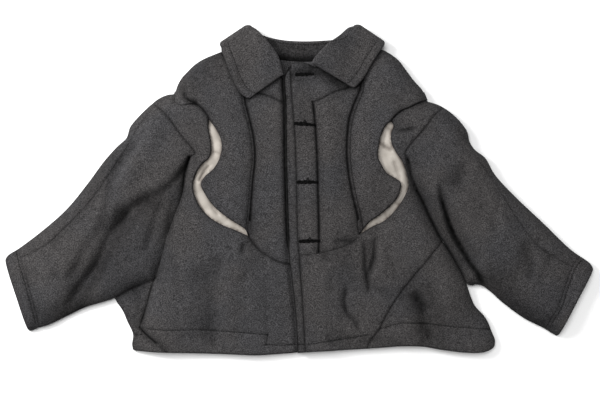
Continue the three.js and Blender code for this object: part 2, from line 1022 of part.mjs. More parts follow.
// One row of the front, from under its right edge, over the top, to under its left edge.
function frontRow(y, lift) {
  const right = edgeAt(BODY_EDGE_RIGHT, y) + SEAM_GAP / 2;
  const left = edgeAt(BODY_EDGE_LEFT, y) - SEAM_GAP / 2;
  const reach = RISE[RISE.length - 1] + 8;
  const low = Math.max(-MIDDLE, right + reach);
  const high = Math.min(MIDDLE, left - reach);
  const xs = RISE.map((offset) => right + offset);
  xs.push((xs[xs.length - 1] + low) / 2);
  for (let i = 0; i <= MIDDLE_COLUMNS; i += 1) {
    xs.push(low + ((high - low) * i) / MIDDLE_COLUMNS);
  }
  const last = [...RISE].reverse().map((offset) => left - offset);
  xs.push((high + last[0]) / 2, ...last);
  const top = xs.map((x) => new THREE.Vector3(x, y, laidHeight(x, y) + lift(x, y)));
  const under = (edge, inward) => {
    const rest = restHeight(edge, y);
    const height = laidHeight(edge, y) - rest;
    const turn = [];
    for (let k = 1; k <= ROLL_STEPS; k += 1) {
      const angle = (k / ROLL_STEPS) * (Math.PI / 2);
      const x = edge + inward * EDGE_RADIUS * (1 - Math.cos(angle));
      turn.push(new THREE.Vector3(x, y, rest + height * (1 - Math.sin(angle))));
    }
    turn.push(new THREE.Vector3(edge + inward * (EDGE_RADIUS + TUCK), y, rest));
    return turn;
  };
  return [...under(right, 1).reverse(), ...top, ...under(left, -1)];
}

function frontCloth(lift, thickness = WOOL, depth = 0) {
  return wall(
    BODY_ROWS.map((y) => frontRow(y, lift)),
    thickness,
    { depth },
  );
}

const curve = Object.fromEntries(
  Object.entries({
    HEM,
    NECK_RIGHT,
    NECK_LEFT,
    ARMHOLE_RIGHT,
    ARMHOLE_LEFT,
    WING_EDGE_RIGHT,
    WING_EDGE_LEFT,
    SLIT_OUTER_RIGHT,
    SLIT_INNER_RIGHT,
    SLIT_OUTER_LEFT,
    SLIT_INNER_LEFT,
    YOKE_RIGHT,
    YOKE_LEFT,
    WAIST_RIGHT,
    WAIST_LEFT,
    PLACKET_SEAM,
    BAND_SEAM,
    FRONT_EDGE,
    FRONT_FOLD,
    GORE_SEAM_RIGHT,
    GORE_SEAM_LEFT,
    HIND_ARM_RIGHT,
    HIND_ARM_LEFT,
    CUFF_SEAM_RIGHT,
    CUFF_SEAM_LEFT,
    PRINCESS_RIGHT,
    PRINCESS_LEFT,
    CREASE_RIGHT: [...CREASE_RIGHT, ...SLEEVE_INNER_RIGHT.slice(1, 3)],
    CREASE_LEFT,
  }).map(([name, rows]) => {
    const steps = FINE_CURVES.test(name) ? CURVE_STEPS.fine : CURVE_STEPS.plain;
    return [name, smooth(rows, steps)];
  }),
);

const PAST = 40; // how far an outline runs out past the folded edge that it takes in

// ---- The pieces ------------------------------------------------------------------------------

const COLOURS = {
  wool: { color: 0x474645, roughness: 0.95, metalness: 0 },
  collar: { color: 0x484746, roughness: 0.95, metalness: 0 },
  lining: { color: 0xc9bfb2, roughness: 0.7, metalness: 0 },
  thread: { color: 0x101010, roughness: 0.8, metalness: 0 },
  button: { color: 0x161616, roughness: 0.4, metalness: 0 },
};
const MATERIALS = Object.fromEntries(
  Object.entries(COLOURS).map(([name, look]) => [name, new THREE.MeshStandardMaterial(look)]),
);

const jacket = new THREE.Group();
jacket.position.set(-CENTRE.x, -CENTRE.y, 0);

function add(name, solid, material = "wool") {
  const { vertProperties, triVerts } = solid.getMesh();
  const geometry = new THREE.BufferGeometry();
  geometry.setAttribute("position", new THREE.BufferAttribute(vertProperties, 3));
  geometry.setIndex(new THREE.BufferAttribute(triVerts, 1));
  geometry.computeVertexNormals();
  const mesh = new THREE.Mesh(geometry, MATERIALS[material]);
  mesh.name = name;
  jacket.add(mesh);
}

function addRightFront() {
  const cloth = frontCloth(noLift);
  const underlapEdge = straight([UNDERLAP, 290], [UNDERLAP, -360]);
  const seam = curve.PRINCESS_RIGHT;
  add(
    "yoke_right",
    trimmed(cloth, outlineOf(curve.NECK_RIGHT, seam, curve.YOKE_RIGHT, underlapEdge)),
  );
  add(
    "centre_front_right",
    trimmed(cloth, outlineOf(curve.YOKE_RIGHT, seam, curve.WAIST_RIGHT, underlapEdge)),
  );
  add(
    "wing_right",
    trimmed(
      frontCloth(rightWing),
      outlineOf(
        curve.NECK_RIGHT,
        seam,
        curve.SLIT_INNER_RIGHT,
        curve.WING_EDGE_RIGHT,
        straight([-262, 200], [-262 - PAST, 200 + PAST], [-123, 340], [-123, 293]),
      ),
    ),
  );
  add(
    "side_front_right",
    trimmed(
      cloth,
      outlineOf(
        curve.WING_EDGE_RIGHT,
        curve.SLIT_OUTER_RIGHT,
        curve.WAIST_RIGHT,
        underlapEdge,
        curve.HEM,
        curve.GORE_SEAM_RIGHT,
        curve.FRONT_FOLD,
        curve.CREASE_RIGHT,
        curve.ARMHOLE_RIGHT,
        straight([-312, 188], [-300, 215], [-262, 200]),
      ),
    ),
  );
  add(
    "gore_right",
    trimmed(
      cloth,
      outlineOf(
        curve.GORE_SEAM_RIGHT,
        curve.HEM,
        straight([-350, -321], [-420, -321], [-420, -225], [-373, -220]),
        curve.CREASE_RIGHT,
        curve.FRONT_FOLD,
      ),
    ),
  );
}

function addLeftFront() {
  const cloth = frontCloth(leftLift);
  const seam = curve.PRINCESS_LEFT;
  add(
    "front_edge_band",
    trimmed(cloth, outlineOf(curve.NECK_LEFT, curve.BAND_SEAM, curve.HEM, curve.FRONT_EDGE)),
  );
  add(
    "placket",
    trimmed(
      cloth,
      outlineOf(
        curve.NECK_LEFT,
        seam,
        curve.YOKE_LEFT,
        curve.PLACKET_SEAM,
        curve.WAIST_LEFT,
        curve.BAND_SEAM,
      ),
    ),
  );
  add(
    "centre_front_left",
    trimmed(cloth, outlineOf(curve.YOKE_LEFT, seam, curve.WAIST_LEFT, curve.PLACKET_SEAM)),
  );
  add(
    "wing_left",
    trimmed(
      frontCloth(leftWing),
      outlineOf(
        curve.NECK_LEFT,
        straight([125, 291], [125, 340], [266 + PAST, 181 + PAST], [266, 181]),
        curve.WING_EDGE_LEFT,
        curve.SLIT_INNER_LEFT,
        seam,
      ),
    ),
  );
  add(
    "side_front_left",
    trimmed(
      cloth,
      outlineOf(
        curve.WING_EDGE_LEFT,
        curve.SLIT_OUTER_LEFT,
        curve.WAIST_LEFT,
        curve.BAND_SEAM,
        curve.HEM,
        curve.GORE_SEAM_LEFT,
        curve.CREASE_LEFT,
        curve.ARMHOLE_LEFT,
        straight([302, 182], [300, 215], [266, 181]),
      ),
    ),
  );
  add(
    "gore_left",
    trimmed(
      cloth,
      outlineOf(
        curve.GORE_SEAM_LEFT,
        curve.HEM,
        straight([410, -300], [450, -280], [400, -220], [333, -189]),
        curve.CREASE_LEFT,
      ),
    ),
  );
}

// The flat back, inside the tucked edges of the fronts.
function addBack() {
  const tucked = EDGE_RADIUS + TUCK + BACK_GAP;
  const grid = BODY_ROWS.map((y) => {
    const right = edgeAt(BODY_EDGE_RIGHT, y) + tucked;
    const left = edgeAt(BODY_EDGE_LEFT, y) - tucked;
    return BACK_COLUMNS.map((share) => {
      const x = mix(right, left, share);
      return new THREE.Vector3(x, y, restHeight(x, y) + WOOL);
    });
  });
  const outline = outlineOf(
    curve.HEM,
    straight([410, -300], [450, -280], [400, -220], [333, -189]),
    curve.CREASE_LEFT,
    curve.ARMHOLE_LEFT,
    straight([302, 182], [300, 280], [170, 330], [118, 300]),
    BACK_NECK_LINE,
    straight([-118, 300], [-170, 330], [-300, 280], [-312, 188]),
    curve.ARMHOLE_RIGHT,
    curve.CREASE_RIGHT,
    straight([-373, -220], [-420, -225], [-420, -321], [-350, -321]),
  );
  add("back", trimmed(wall(grid, WOOL), outline));
}

// ---- Sleeves ---------------------------------------------------------------------------------

// One closed ring of a sleeve: over the top from its outer edge to its inner one, and back below.
function sleeveRing({ outerX, outerY, innerX, innerY }, rising) {
  const length = Math.hypot(innerX - outerX, innerY - outerY);
  const ux = (innerX - outerX) / length;
  const uy = (innerY - outerY) / length;
  const place = (s, z) => new THREE.Vector3(outerX + ux * s, outerY + uy * s, z);
  const topAt = (s) => laidHeight(outerX + ux * s, outerY + uy * s);
  const first = SEAM_GAP / 2;
  const last = length - SEAM_GAP / 2;
  const ring = [];
  for (let i = 0; i <= SLEEVE_TOP_COLUMNS; i += 1) {
    const share = (1 - Math.cos((Math.PI * i) / SLEEVE_TOP_COLUMNS)) / 2;
    const even = i / SLEEVE_TOP_COLUMNS;
    const s = first + (last - first) * (0.55 * share + 0.45 * even);
    ring.push(place(s, topAt(s)));
  }
  const radius = Math.min(EDGE_RADIUS, length / 6);
  const edgeHeight = { inner: topAt(last), outer: topAt(first) };
  const quarter = (k) => (k / ROLL_STEPS) * (Math.PI / 2);
  for (let k = 1; k <= ROLL_STEPS; k += 1) {
    const s = last - radius * (1 - Math.cos(quarter(k)));
    ring.push(place(s, edgeHeight.inner * (1 - Math.sin(quarter(k)))));
  }
  for (let i = 1; i < SLEEVE_UNDER_COLUMNS; i += 1) {
    ring.push(place(last - radius - ((length - 2 * radius) * i) / SLEEVE_UNDER_COLUMNS, 0));
  }
  for (let k = ROLL_STEPS; k >= 1; k -= 1) {
    const s = first + radius * (1 - Math.cos(quarter(k)));
    ring.push(place(s, edgeHeight.outer * (1 - Math.sin(quarter(k)))));
  }
  return rising ? ring : ring.reverse();
}

function addSleeve(side) {
  const right = side === "right";
  const out = right ? -1 : 1;
  const sections = right ? SECTIONS_RIGHT : SECTIONS_LEFT;
  const armhole = right ? curve.ARMHOLE_RIGHT : curve.ARMHOLE_LEFT;
  const hindArm = right ? curve.HIND_ARM_RIGHT : curve.HIND_ARM_LEFT;
  const cuffSeam = right ? curve.CUFF_SEAM_RIGHT : curve.CUFF_SEAM_LEFT;
  const crease = right ? curve.CREASE_RIGHT : curve.CREASE_LEFT;
  const far = out * 660;
  const tube = wall(
    sections.map((section) => sleeveRing(section, !right)),
    WOOL,
    { loop: true },
  );
  const inner = crease[crease.length - 1];
  const top = armhole[0];
  const arm = outlineOf(
    armhole,
    crease,
    straight([inner.x, inner.y], [inner.x + out * 12, inner.y - 40], [out * 430, -360], [far, -360]),
    straight([far, -360], [far, -60], [out * 420, 160], [top.x, top.y]),
  );
  const sleeve = mainBody(tube.intersect(prism(inset(arm, SEAM_GAP / 2))));
  const cuffSide = outlineOf(
    straight([far, -60], [far, -90], [out * 400, -90]),
    cuffSeam,
    straight([out * 400, -295], [far, -295], [far, -60]),
  );
  add(`cuff_${side}`, mainBody(sleeve.intersect(prism(inset(cuffSide, SEAM_GAP / 2)))));
  const arms = mainBody(sleeve.subtract(prism(inset(cuffSide, -SEAM_GAP / 2))));
  const frontOfSeam = outlineOf(
    straight([out * 100, 190], [out * 282, 190], [out * 300, 190]),
    hindArm,
    straight([out * 600, -146 - (right ? 0 : 22)], [far, -200], [far, -400], [out * 100, -400]),
    straight([out * 100, -400], [out * 100, 190]),
  );
  const over = (gap) => prism(inset(frontOfSeam, gap), INSEAM_HEIGHT + gap);
  add(`upper_sleeve_${side}`, mainBody(arms.intersect(over(SEAM_GAP / 2))));
  add(`under_sleeve_${side}`, mainBody(arms.subtract(over(-SEAM_GAP / 2))));
}

// ---- Collar, lining and buttons --------------------------------------------------------------

// Height of the fronts here, or of the surface that they lie on beside the shoulder.
function frontHeight(x, y) {
  const shoulder = x < 0 ? SHOULDER_LINES.right : SHOULDER_LINES.left;
  const { side } = nearest(shoulder, x, y);
  const onCloth = x < 0 ? side > 0 : side < 0;
  if (!onCloth) return 0;
  return laidHeight(x, y) + (x < 0 ? wingLift(x, y) : leftWing(x, y));
}

// Height of what the fall of the collar lies on here.
function underCollar(x, y) {
  const d = COLLAR_SPREAD;
  const places = [x, y, x - d, y, x + d, y, x, y - d, x, y + d];
  let height = 0;
  for (let i = 0; i < places.length; i += 2) {
    height = Math.max(height, frontHeight(places[i], places[i + 1]));
  }
  return height;
}

// One section of the collar over the front: from the free edge of the fall up to the roll line,
// round it, and back along the stand to the neck seam.
function leafSection({ rollX, rollY, edgeX, edgeY }, along, side) {
  const length = Math.hypot(edgeX - rollX, edgeY - rollY);
  const ux = (edgeX - rollX) / length;
  const uy = (edgeY - rollY) / length;
  const end = mix(COLLAR_TOP.front, COLLAR_TOP.side, along);
  const level = end + (side === "left" ? PLACKET_LIFT * (1 - along) : 0);
  const points = [];
  for (let i = 0; i <= FALL_COLUMNS; i += 1) {
    const s = mix(length, COLLAR_ROLL, i / FALL_COLUMNS);
    const x = rollX + ux * s;
    const y = rollY + uy * s;
    const resting = underCollar(x, y) + COLLAR_CLEARANCE + COLLAR_WALL;
    const drop = mix(0, COLLAR_TOP.edgeDrop, s / length) * along;
    points.push(new THREE.Vector3(x, y, Math.max(level - drop, resting)));
  }
  const top = points[points.length - 1].z;
  for (let k = 1; k < ROLL_COLUMNS; k += 1) {
    const angle = (Math.PI * k) / ROLL_COLUMNS;
    const s = COLLAR_ROLL * (1 - Math.sin(angle));
    points.push(
      new THREE.Vector3(rollX + ux * s, rollY + uy * s, top - COLLAR_ROLL * (1 - Math.cos(angle))),
    );
  }
  const stand = mix(STAND.front, STAND.side, along);
  for (let i = 0; i <= STAND_COLUMNS; i += 1) {
    const s = mix(COLLAR_ROLL, stand, i / STAND_COLUMNS);
    points.push(new THREE.Vector3(rollX + ux * s, rollY + uy * s, top - 2 * COLLAR_ROLL));
  }
  return points;
}

// One section across the back neck: the fall lies on the surface, the stand above it.
function backSection(share) {
  const { roll, ux, uy, length, stand } = backLine(share);
  const points = [];
  for (let i = 0; i <= FALL_COLUMNS; i += 1) {
    const s = mix(length, COLLAR_ROLL, i / FALL_COLUMNS);
    points.push(new THREE.Vector3(roll.x + ux * s, roll.y + uy * s, 0));
  }
  for (let k = 1; k < ROLL_COLUMNS; k += 1) {
    const angle = (Math.PI * k) / ROLL_COLUMNS;
    const s = COLLAR_ROLL * (1 - Math.sin(angle));
    points.push(
      new THREE.Vector3(roll.x + ux * s, roll.y + uy * s, COLLAR_ROLL * (1 - Math.cos(angle))),
    );
  }
  for (let i = 0; i <= STAND_COLUMNS; i += 1) {
    const s = mix(COLLAR_ROLL, stand, i / STAND_COLUMNS);
    const z = mix(2 * COLLAR_ROLL, COLLAR_REST + COLLAR_WALL, i / STAND_COLUMNS);
    points.push(new THREE.Vector3(roll.x + ux * s, roll.y + uy * s, z));
  }
  return points;
}

// The turn at the side of the neck, from the section over the front to the one below the back.
function sideTurn(front, back, outwardX, outwardY) {
  const turns = [];
  for (let k = 1; k < TURN_STEPS; k += 1) {
    const angle = (Math.PI * k) / TURN_STEPS;
    const share = (1 - Math.cos(angle)) / 2;
    turns.push(
      front.map((point, i) => {
        const bulge = (Math.sin(angle) * (point.z - back[i].z)) / 2;
        return new THREE.Vector3(
          mix(point.x, back[i].x, share) + outwardX * bulge,
          mix(point.y, back[i].y, share) + outwardY * bulge,
          mix(point.z, back[i].z, share),
        );
      }),
    );
  }
  return turns;
}

function addCollar() {
  const leaf = (rows, side) =>
    rows.map((row, i) => leafSection(row, i / (rows.length - 1), side));
  const right = leaf(COLLAR_RIGHT, "right");
  const left = leaf(COLLAR_LEFT, "left").reverse();
  const back = [];
  for (let i = 0; i <= BACK_SECTIONS; i += 1) back.push(backSection(i / BACK_SECTIONS));
  const sections = [
    ...right,
    ...sideTurn(right[right.length - 1], back[0], -0.62, 0.78),
    ...back,
    ...sideTurn(left[0], back[back.length - 1], 0.62, 0.78).reverse(),
    ...left,
  ];
  add("collar", wall(sections, COLLAR_WALL, { turn: COLLAR_TURN }), "collar");
}

// The pale lining behind a slit, a little larger than the slit all round.
function addLining(side, lift, outer, inner) {
  const slit = [...outer, ...[...inner].reverse().slice(1, -1)];
  const cloth = frontCloth(lift, LINING_WALL, WOOL + 2 * SEAM_GAP);
  const above = EDGE_RADIUS + WOOL; // clear of the cloth that is tucked under at the side
  const patch = prism(inset(slit, -LINING_MARGIN), above);
  add(`lining_${side}`, mainBody(cloth.intersect(patch)), "lining");
}

// The four buttons stand on the right front, under the placket.
function addButtons() {
  BUTTONS.forEach(({ x, y }, i) => {
    const step = BUTTON_RADIUS;
    const slopeX = (laidHeight(x + step, y) - laidHeight(x - step, y)) / (2 * step);
    const slopeY = (laidHeight(x, y + step) - laidHeight(x, y - step)) / (2 * step);
    const normal = new THREE.Vector3(-slopeX, -slopeY, 1).normalize();
    const disc = new THREE.CylinderGeometry(BUTTON_RADIUS, BUTTON_RADIUS, BUTTON_THICKNESS, 14);
    const tilt = new THREE.Quaternion().setFromUnitVectors(new THREE.Vector3(0, 1, 0), normal);
    const height = BUTTON_THICKNESS / 2 + 2 * SEAM_GAP;
    disc.applyQuaternion(tilt);
    disc.translate(x + normal.x * height, y + normal.y * height, laidHeight(x, y) + height);
    add(`button_${i + 1}`, solidOf(disc), "button");
  });
}

addRightFront();
addLeftFront();
addBack();
addSleeve("right");
addSleeve("left");
addCollar();
addLining("right", noLift, curve.SLIT_OUTER_RIGHT, curve.SLIT_INNER_RIGHT);
addLining("left", leftLift, curve.SLIT_OUTER_LEFT, curve.SLIT_INNER_LEFT);
addButtons();

export default jacket;
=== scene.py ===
"""A cropped wool blouson jacket, laid flat on its back and spread out, front up.

Plan tables and heights are in millimetres: X from the wearer's right to the left, Y from the hem to
the collar, Z up. Each cut piece is a cloth panel over its own plan outline. Every vertex takes its
height from one laid surface, so neighbours meet at their seams. One function says how much shade is
painted into the colour at edges, seams, stitching, creases and overlaps, and the melton and the lining take
that painted shade from a point attribute.
"""

import math

import bpy
import numpy as np
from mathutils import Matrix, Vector
from mathutils.bvhtree import BVHTree
from mathutils.geometry import delaunay_2d_cdt


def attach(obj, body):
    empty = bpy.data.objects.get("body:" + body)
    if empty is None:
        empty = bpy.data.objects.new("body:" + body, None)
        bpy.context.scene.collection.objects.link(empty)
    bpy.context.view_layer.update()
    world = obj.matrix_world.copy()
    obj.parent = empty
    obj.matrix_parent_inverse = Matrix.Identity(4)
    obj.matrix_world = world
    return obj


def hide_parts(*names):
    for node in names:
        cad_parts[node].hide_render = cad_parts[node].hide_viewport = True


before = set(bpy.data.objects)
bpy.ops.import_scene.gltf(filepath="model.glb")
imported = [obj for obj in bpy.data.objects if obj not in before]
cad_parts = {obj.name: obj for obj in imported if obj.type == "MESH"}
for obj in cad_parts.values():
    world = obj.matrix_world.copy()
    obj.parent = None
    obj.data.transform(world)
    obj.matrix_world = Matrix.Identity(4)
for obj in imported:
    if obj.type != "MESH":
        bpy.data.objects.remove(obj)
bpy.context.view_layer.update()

# ---- Driving dimensions, in millimetres ------------------------------------------------------

WOOL = 3.0  # wall of the melton cloth
LINING_WALL = 1.5
COLLAR_WALL = 4.0  # two plies of the collar, pressed together
EDGE_RADIUS = 8.0  # roll of the cloth at a folded edge
TURN = 3.2  # radius of a turned cloth edge, at a hem or a slit
TUCK = 10.0  # how far a rolled edge runs on under itself
ROLL_SPAN = 44.0  # how far in from an edge the laid cloth reaches its full height
CREASE_GROWTH = 120.0  # how far along an armpit's crease that distance grows to its full size
LOWEST = 14.0  # least height of the cloth away from its edges
FOLD_SPAN = 30.0  # how far in from the right front's folded edge the cloth is at its full height
GORE_HEIGHT = 13.0  # of the right gore, under that edge
WING_LIFT = 3.4  # the chest wings lie on top of the shoulder pieces
PLACKET_LIFT = 6.8  # the left front laps over the right front
PLACKET_FLAT = 52.0  # out to here the lift is whole, and from there on it falls away
PLACKET_FALL = 44.0
UNDERLAP = 44.0  # how far the right front runs on under the placket
LINING_MARGIN = 8.0  # how far the lining runs on beyond its slit
LINING_DROP = 5.8  # from the underside of the wool down to the lining
COLLAR_CLEARANCE = 2.2  # between the fronts and the collar's fall
COLLAR_SPREAD = 9.0  # reach of the look round for the highest point below the collar
COLLAR_ROLL = 5.2  # radius of the roll
COLLAR_TOP = {"front": 33.0, "side": 28.0, "edge_drop": 2.0}
COLLAR_REST = 6.0  # height of the jacket's underside where it lies on its own collar
COLLAR_SLOPE = {"start": 48.0, "end": 12.0}  # distance from the fall's edge over which it rises
COLLAR_STITCH = 17.0  # from the free edge of the collar to its stitching
STAND = {"front": 7.0, "side": 24.0}  # depth of the collar's stand
BACK_STAND = 41.0
CORNER = {"front": 5.5, "side": 12.0, "peak": 12.0}  # radius of the collar's corners in plan
CENTRE = {"x": -0.5, "y": -2.5}  # middle of the plan, the origin of the frame
STEP = 4.0  # spacing of the points along an outline
GRID = 5.0  # spacing of the points inside a panel
CREASE_STEP = 8.0  # and along the path of a crease
GUIDE_STEP = 3.5  # and along a row of points that follows a crease or a row of stitches
JOINED = 0.8  # outline points closer than this become one
RING_SHARE = 0.88  # a point beside an edge keeps this share of its distance from every edge
GRID_CLEARANCE = 2.6  # from the points inside a panel to the rows beside its edges
GUIDE_CLEARANCE = 1.2  # from a guide's points to the edges
# How far from its ends each kind of crease reaches its full depth.
FOLD_RUN_OUT, CREASE_RUN_OUT, LINING_RUN_OUT, BACK_RUN_OUT = 40.0, 24.0, 5.0, 60.0

# ---- Tables ----------------------------------------------------------------------------------

# Height of the laid cloth over the plan, the same on both sides: x outwards, y, height.
HEIGHTS = [
    (0, 240, 26), (0, 100, 31), (0, -120, 30), (0, -320, 17), (110, 90, 34), (130, -110, 33),
    (120, 270, 25), (150, -320, 19), (200, 210, 34), (240, 110, 40), (250, -210, 31), (330, -310, 20),
    (310, 10, 44), (390, -100, 42), (460, -175, 34), (560, -210, 24),
]

# Lines of the plan, as points x, y.
PLAN = {
    # Folded outer edges of the laid jacket.
    "shoulder_right": [
        (-123, 286), (-155, 273), (-193, 257), (-211, 245), (-225, 231), (-235, 220), (-243, 206),
        (-250, 189),
    ],
    "cap_right": [
        (-250, 189), (-262, 187), (-279, 180), (-294, 169),
    ],
    "sleeve_outer_right": [
        (-294, 169), (-322, 142), (-338, 122), (-345, 101), (-363, 84), (-389, 55), (-423, 9), (-465, -42),
        (-515, -86), (-559, -119), (-582, -134), (-587, -142),
    ],
    "crease_right": [
        (-218, 61), (-225, 41), (-229, 17), (-232, -7), (-239, -32), (-250, -59), (-263, -96), (-276, -144),
        (-289, -181),
    ],
    "sleeve_inner_right": [
        (-289, -181), (-331, -197), (-373, -220), (-427, -237), (-465, -255), (-503, -273), (-530, -280),
        (-541, -283),
    ],
    "side_right": [
        (-369, -219), (-364, -227), (-352, -245), (-343, -266), (-332, -291), (-334, -312), (-331, -325),
        (-330, -345),
    ],
    "shoulder_left": [
        (125, 288), (167, 276), (196, 257), (214, 234), (229, 214), (245, 196), (251, 181), (254, 174),
    ],
    "cap_left": [
        (254, 174), (264, 171), (276, 167), (288, 161),
    ],
    "sleeve_outer_left": [
        (288, 161), (308, 146), (324, 129), (335, 112), (339, 94), (349, 78), (370, 61), (390, 27),
        (433, -19), (488, -71), (541, -122), (580, -150), (586, -160),
    ],
    "crease_left": [
        (213, 59), (216, 50), (222, 24), (230, 2), (244, -24), (260, -59), (278, -94), (294, -118),
        (310, -144), (326, -174), (333, -189),
    ],
    "sleeve_inner_left": [
        (333, -189), (362, -193), (382, -207), (403, -226), (448, -259), (484, -277), (505, -289),
        (516, -293),
    ],
    "side_left": [
        (333, -189), (340, -211), (350, -234), (368, -254), (376, -267), (384, -287), (390, -303),
        (389, -314), (385, -325), (383, -345),
    ],
    # Free edge of the hem, and the neck edge of the two fronts.
    "hem": [
        (-350, -321), (-330, -323), (-290, -326), (-206, -328), (-119, -331), (-86, -332), (-2, -327),
        (65, -323), (164, -317), (205, -314), (246, -315), (282, -321), (333, -327), (368, -326),
        (383, -320), (410, -300),
    ],
    "neck_right": [
        (60, 222), (-26, 222), (-38, 219), (-53, 246), (-71, 262), (-89, 273), (-105, 281), (-123, 286),
    ],
    "neck_left": [
        (-23, 237), (-20, 245), (-10, 250), (5, 250), (20, 246), (31, 241), (43, 252), (60, 262), (81, 272),
        (101, 284), (125, 288),
    ],
    # Seams and cut edges.
    "armhole_right": [
        (-312, 188), (-295, 170), (-274, 155), (-259, 140), (-246, 122), (-233, 104), (-220, 89),
        (-210, 76), (-206, 68), (-218, 61),
    ],
    "armhole_left": [
        (302, 182), (287, 161), (265, 142), (255, 127), (240, 109), (224, 91), (214, 78), (209, 68),
        (213, 59),
    ],
    "wing_right": [
        (-262, 200), (-249, 187), (-246, 171), (-232, 164), (-216, 166), (-203, 164), (-192, 155),
        (-183, 144), (-179, 136),
    ],
    "wing_left": [
        (266, 181), (252, 174), (240, 170), (219, 160), (201, 152), (189, 142), (181, 133),
    ],
    "slit_outer_right": [
        (-179, 136), (-180, 119), (-175, 91), (-177, 63), (-195, 45), (-208, 20), (-210, -3), (-200, -31),
        (-182, -54), (-154, -72), (-129, -82), (-102, -94),
    ],
    "slit_inner_right": [
        (-179, 136), (-162, 112), (-154, 89), (-157, 63), (-169, 40), (-187, 23), (-195, 9), (-187, -11),
        (-169, -36), (-144, -57), (-121, -72), (-108, -81), (-102, -94),
    ],
    "slit_outer_left": [
        (181, 133), (186, 124), (181, 109), (182, 89), (191, 71), (204, 51), (213, 27), (216, 7),
        (209, -13), (193, -39), (168, -64), (145, -75), (120, -90),
    ],
    "slit_inner_left": [
        (181, 133), (171, 125), (161, 104), (156, 79), (155, 63), (163, 45), (173, 30), (189, 20),
        (200, 11), (200, 0), (193, -19), (178, -36), (158, -53), (137, -68), (120, -90),
    ],
    "princess_right": [
        (-95, 295), (-95, 277), (-107, 227), (-108, 177), (-101, 147), (-93, 114), (-88, 78), (-88, 53),
        (-92, 15), (-95, -24), (-98, -62), (-102, -94),
    ],
    "princess_left": [
        (97, 300), (101, 277), (117, 227), (121, 200), (107, 163), (99, 137), (95, 104), (94, 78), (95, 53),
        (98, 27), (103, -1), (109, -29), (116, -58), (120, -90),
    ],
    "yoke_right": [
        (60, 160), (-27, 169), (-56, 181), (-71, 186), (-108, 196),
    ],
    "yoke_left": [
        (27, 170), (46, 178), (66, 189), (87, 196), (121, 205),
    ],
    "waist_right": [
        (-102, -94), (-83, -119), (-63, -134), (-45, -144), (-23, -150), (60, -154),
    ],
    "waist_left": [
        (120, -90), (109, -104), (85, -116), (61, -124), (38, -129), (0, -133),
    ],
    "placket": [
        (27, 170), (31, 131), (35, 69), (37, -11), (39, -90), (38, -129),
    ],
    "band": [
        (-18, 262), (-16, 203), (-8, 97), (-5, 3), (-3, -91), (0, -133), (6, -216), (11, -305), (13, -345),
    ],
    "front_edge": [
        (-23, 237), (-31, 222), (-29, 169), (-28, 69), (-26, -11), (-24, -77), (-21, -135), (-16, -177),
        (-10, -229), (-6, -279), (-3, -345),
    ],
    "front_fold": [
        (-287, -172), (-299, -213), (-307, -243), (-315, -267), (-318, -277),
    ],
    "gore_right": [
        (-318, -277), (-309, -287), (-289, -304), (-271, -318), (-250, -345),
    ],
    "gore_left": [
        (300, -88), (284, -105), (249, -148), (217, -186), (190, -223), (169, -260), (158, -282),
        (142, -303), (124, -345),
    ],
    "hind_right": [
        (-282, 190), (-291, 161), (-319, 121), (-343, 79), (-365, 45), (-391, 5), (-426, -40), (-477, -90),
        (-503, -113), (-534, -130), (-560, -138), (-600, -146),
    ],
    "hind_left": [
        (290, 190), (296, 145), (318, 112), (337, 88), (348, 66), (372, 32), (396, -3), (428, -56),
        (449, -86), (468, -110), (502, -134), (534, -152), (560, -162), (600, -168),
    ],
    "cuff_right": [
        (-567, -100), (-559, -119), (-551, -147), (-543, -173), (-525, -239), (-519, -265), (-514, -300),
    ],
    "cuff_left": [
        (568, -110), (557, -137), (543, -154), (529, -191), (513, -238), (502, -254), (480, -300),
    ],
    # The collar across the back neck: its roll line, and the free edge of its fall.
    "back_roll": [
        (-88, 313), (-71, 305), (-38, 297), (0, 294), (43, 295), (77, 299), (101, 314),
    ],
    "fall": [
        (-155, 279), (-136, 262), (-110, 244), (-70, 228), (0, 218), (75, 228), (118, 246), (146, 264),
        (166, 281),
    ],
}

# Roll line of the collar and the free edge of its fall over the fronts, from the front end to the
# shoulder: roll x, y, edge x, y.
COLLAR = {
    "right": [
        (-31, 225, -101, 176), (-41, 260, -119, 190), (-56, 283, -135, 222), (-71, 301, -147, 254),
        (-87, 317, -155, 273), (-94, 321, -155, 279),
    ],
    "left": [
        (23, 247, 108, 197), (31, 260, 123, 212), (56, 286, 143, 245), (79, 303, 156, 266),
        (97, 319, 165, 279), (107, 322, 166, 281),
    ],
}

# The two ends of each worked buttonhole.
BUTTONHOLES = [
    ((-7, 225), (27, 226)),
    ((-9, 128), (29, 125)),
    ((-3, 12), (36, 12)),
    ((1, -105), (40, -104)),
]

# Largest troughs (negative) and ridges of the laid cloth, as in the solids: depth, width, path.
FOLDS = [
    (-14, 20, [(-330, -25), (-367, -80), (-399, -147), (-452, -228), (-480, -275)]),
    (-7, 16, [(-235, 20), (-262, -18), (-300, -24), (-345, -40)]),
    (4, 22, [(-300, 70), (-380, -30), (-450, -120), (-520, -190)]),
    (-13, 16, [(276, 0), (298, -56), (333, -123), (368, -176)]),
    (-5, 16, [(318, 66), (304, 25), (287, -18)]),
    (-5, 16, [(452, -98), (443, -150), (432, -198)]),
    (-8, 18, [(205, -185), (228, -225), (248, -275), (264, -335)]),
    (5, 24, [(282, -150), (295, -225), (312, -335)]),
    (-5, 24, [(-190, -140), (-180, -215), (-172, -335)]),
    (4, 28, [(-250, -120), (-262, -210), (-265, -335)]),
]

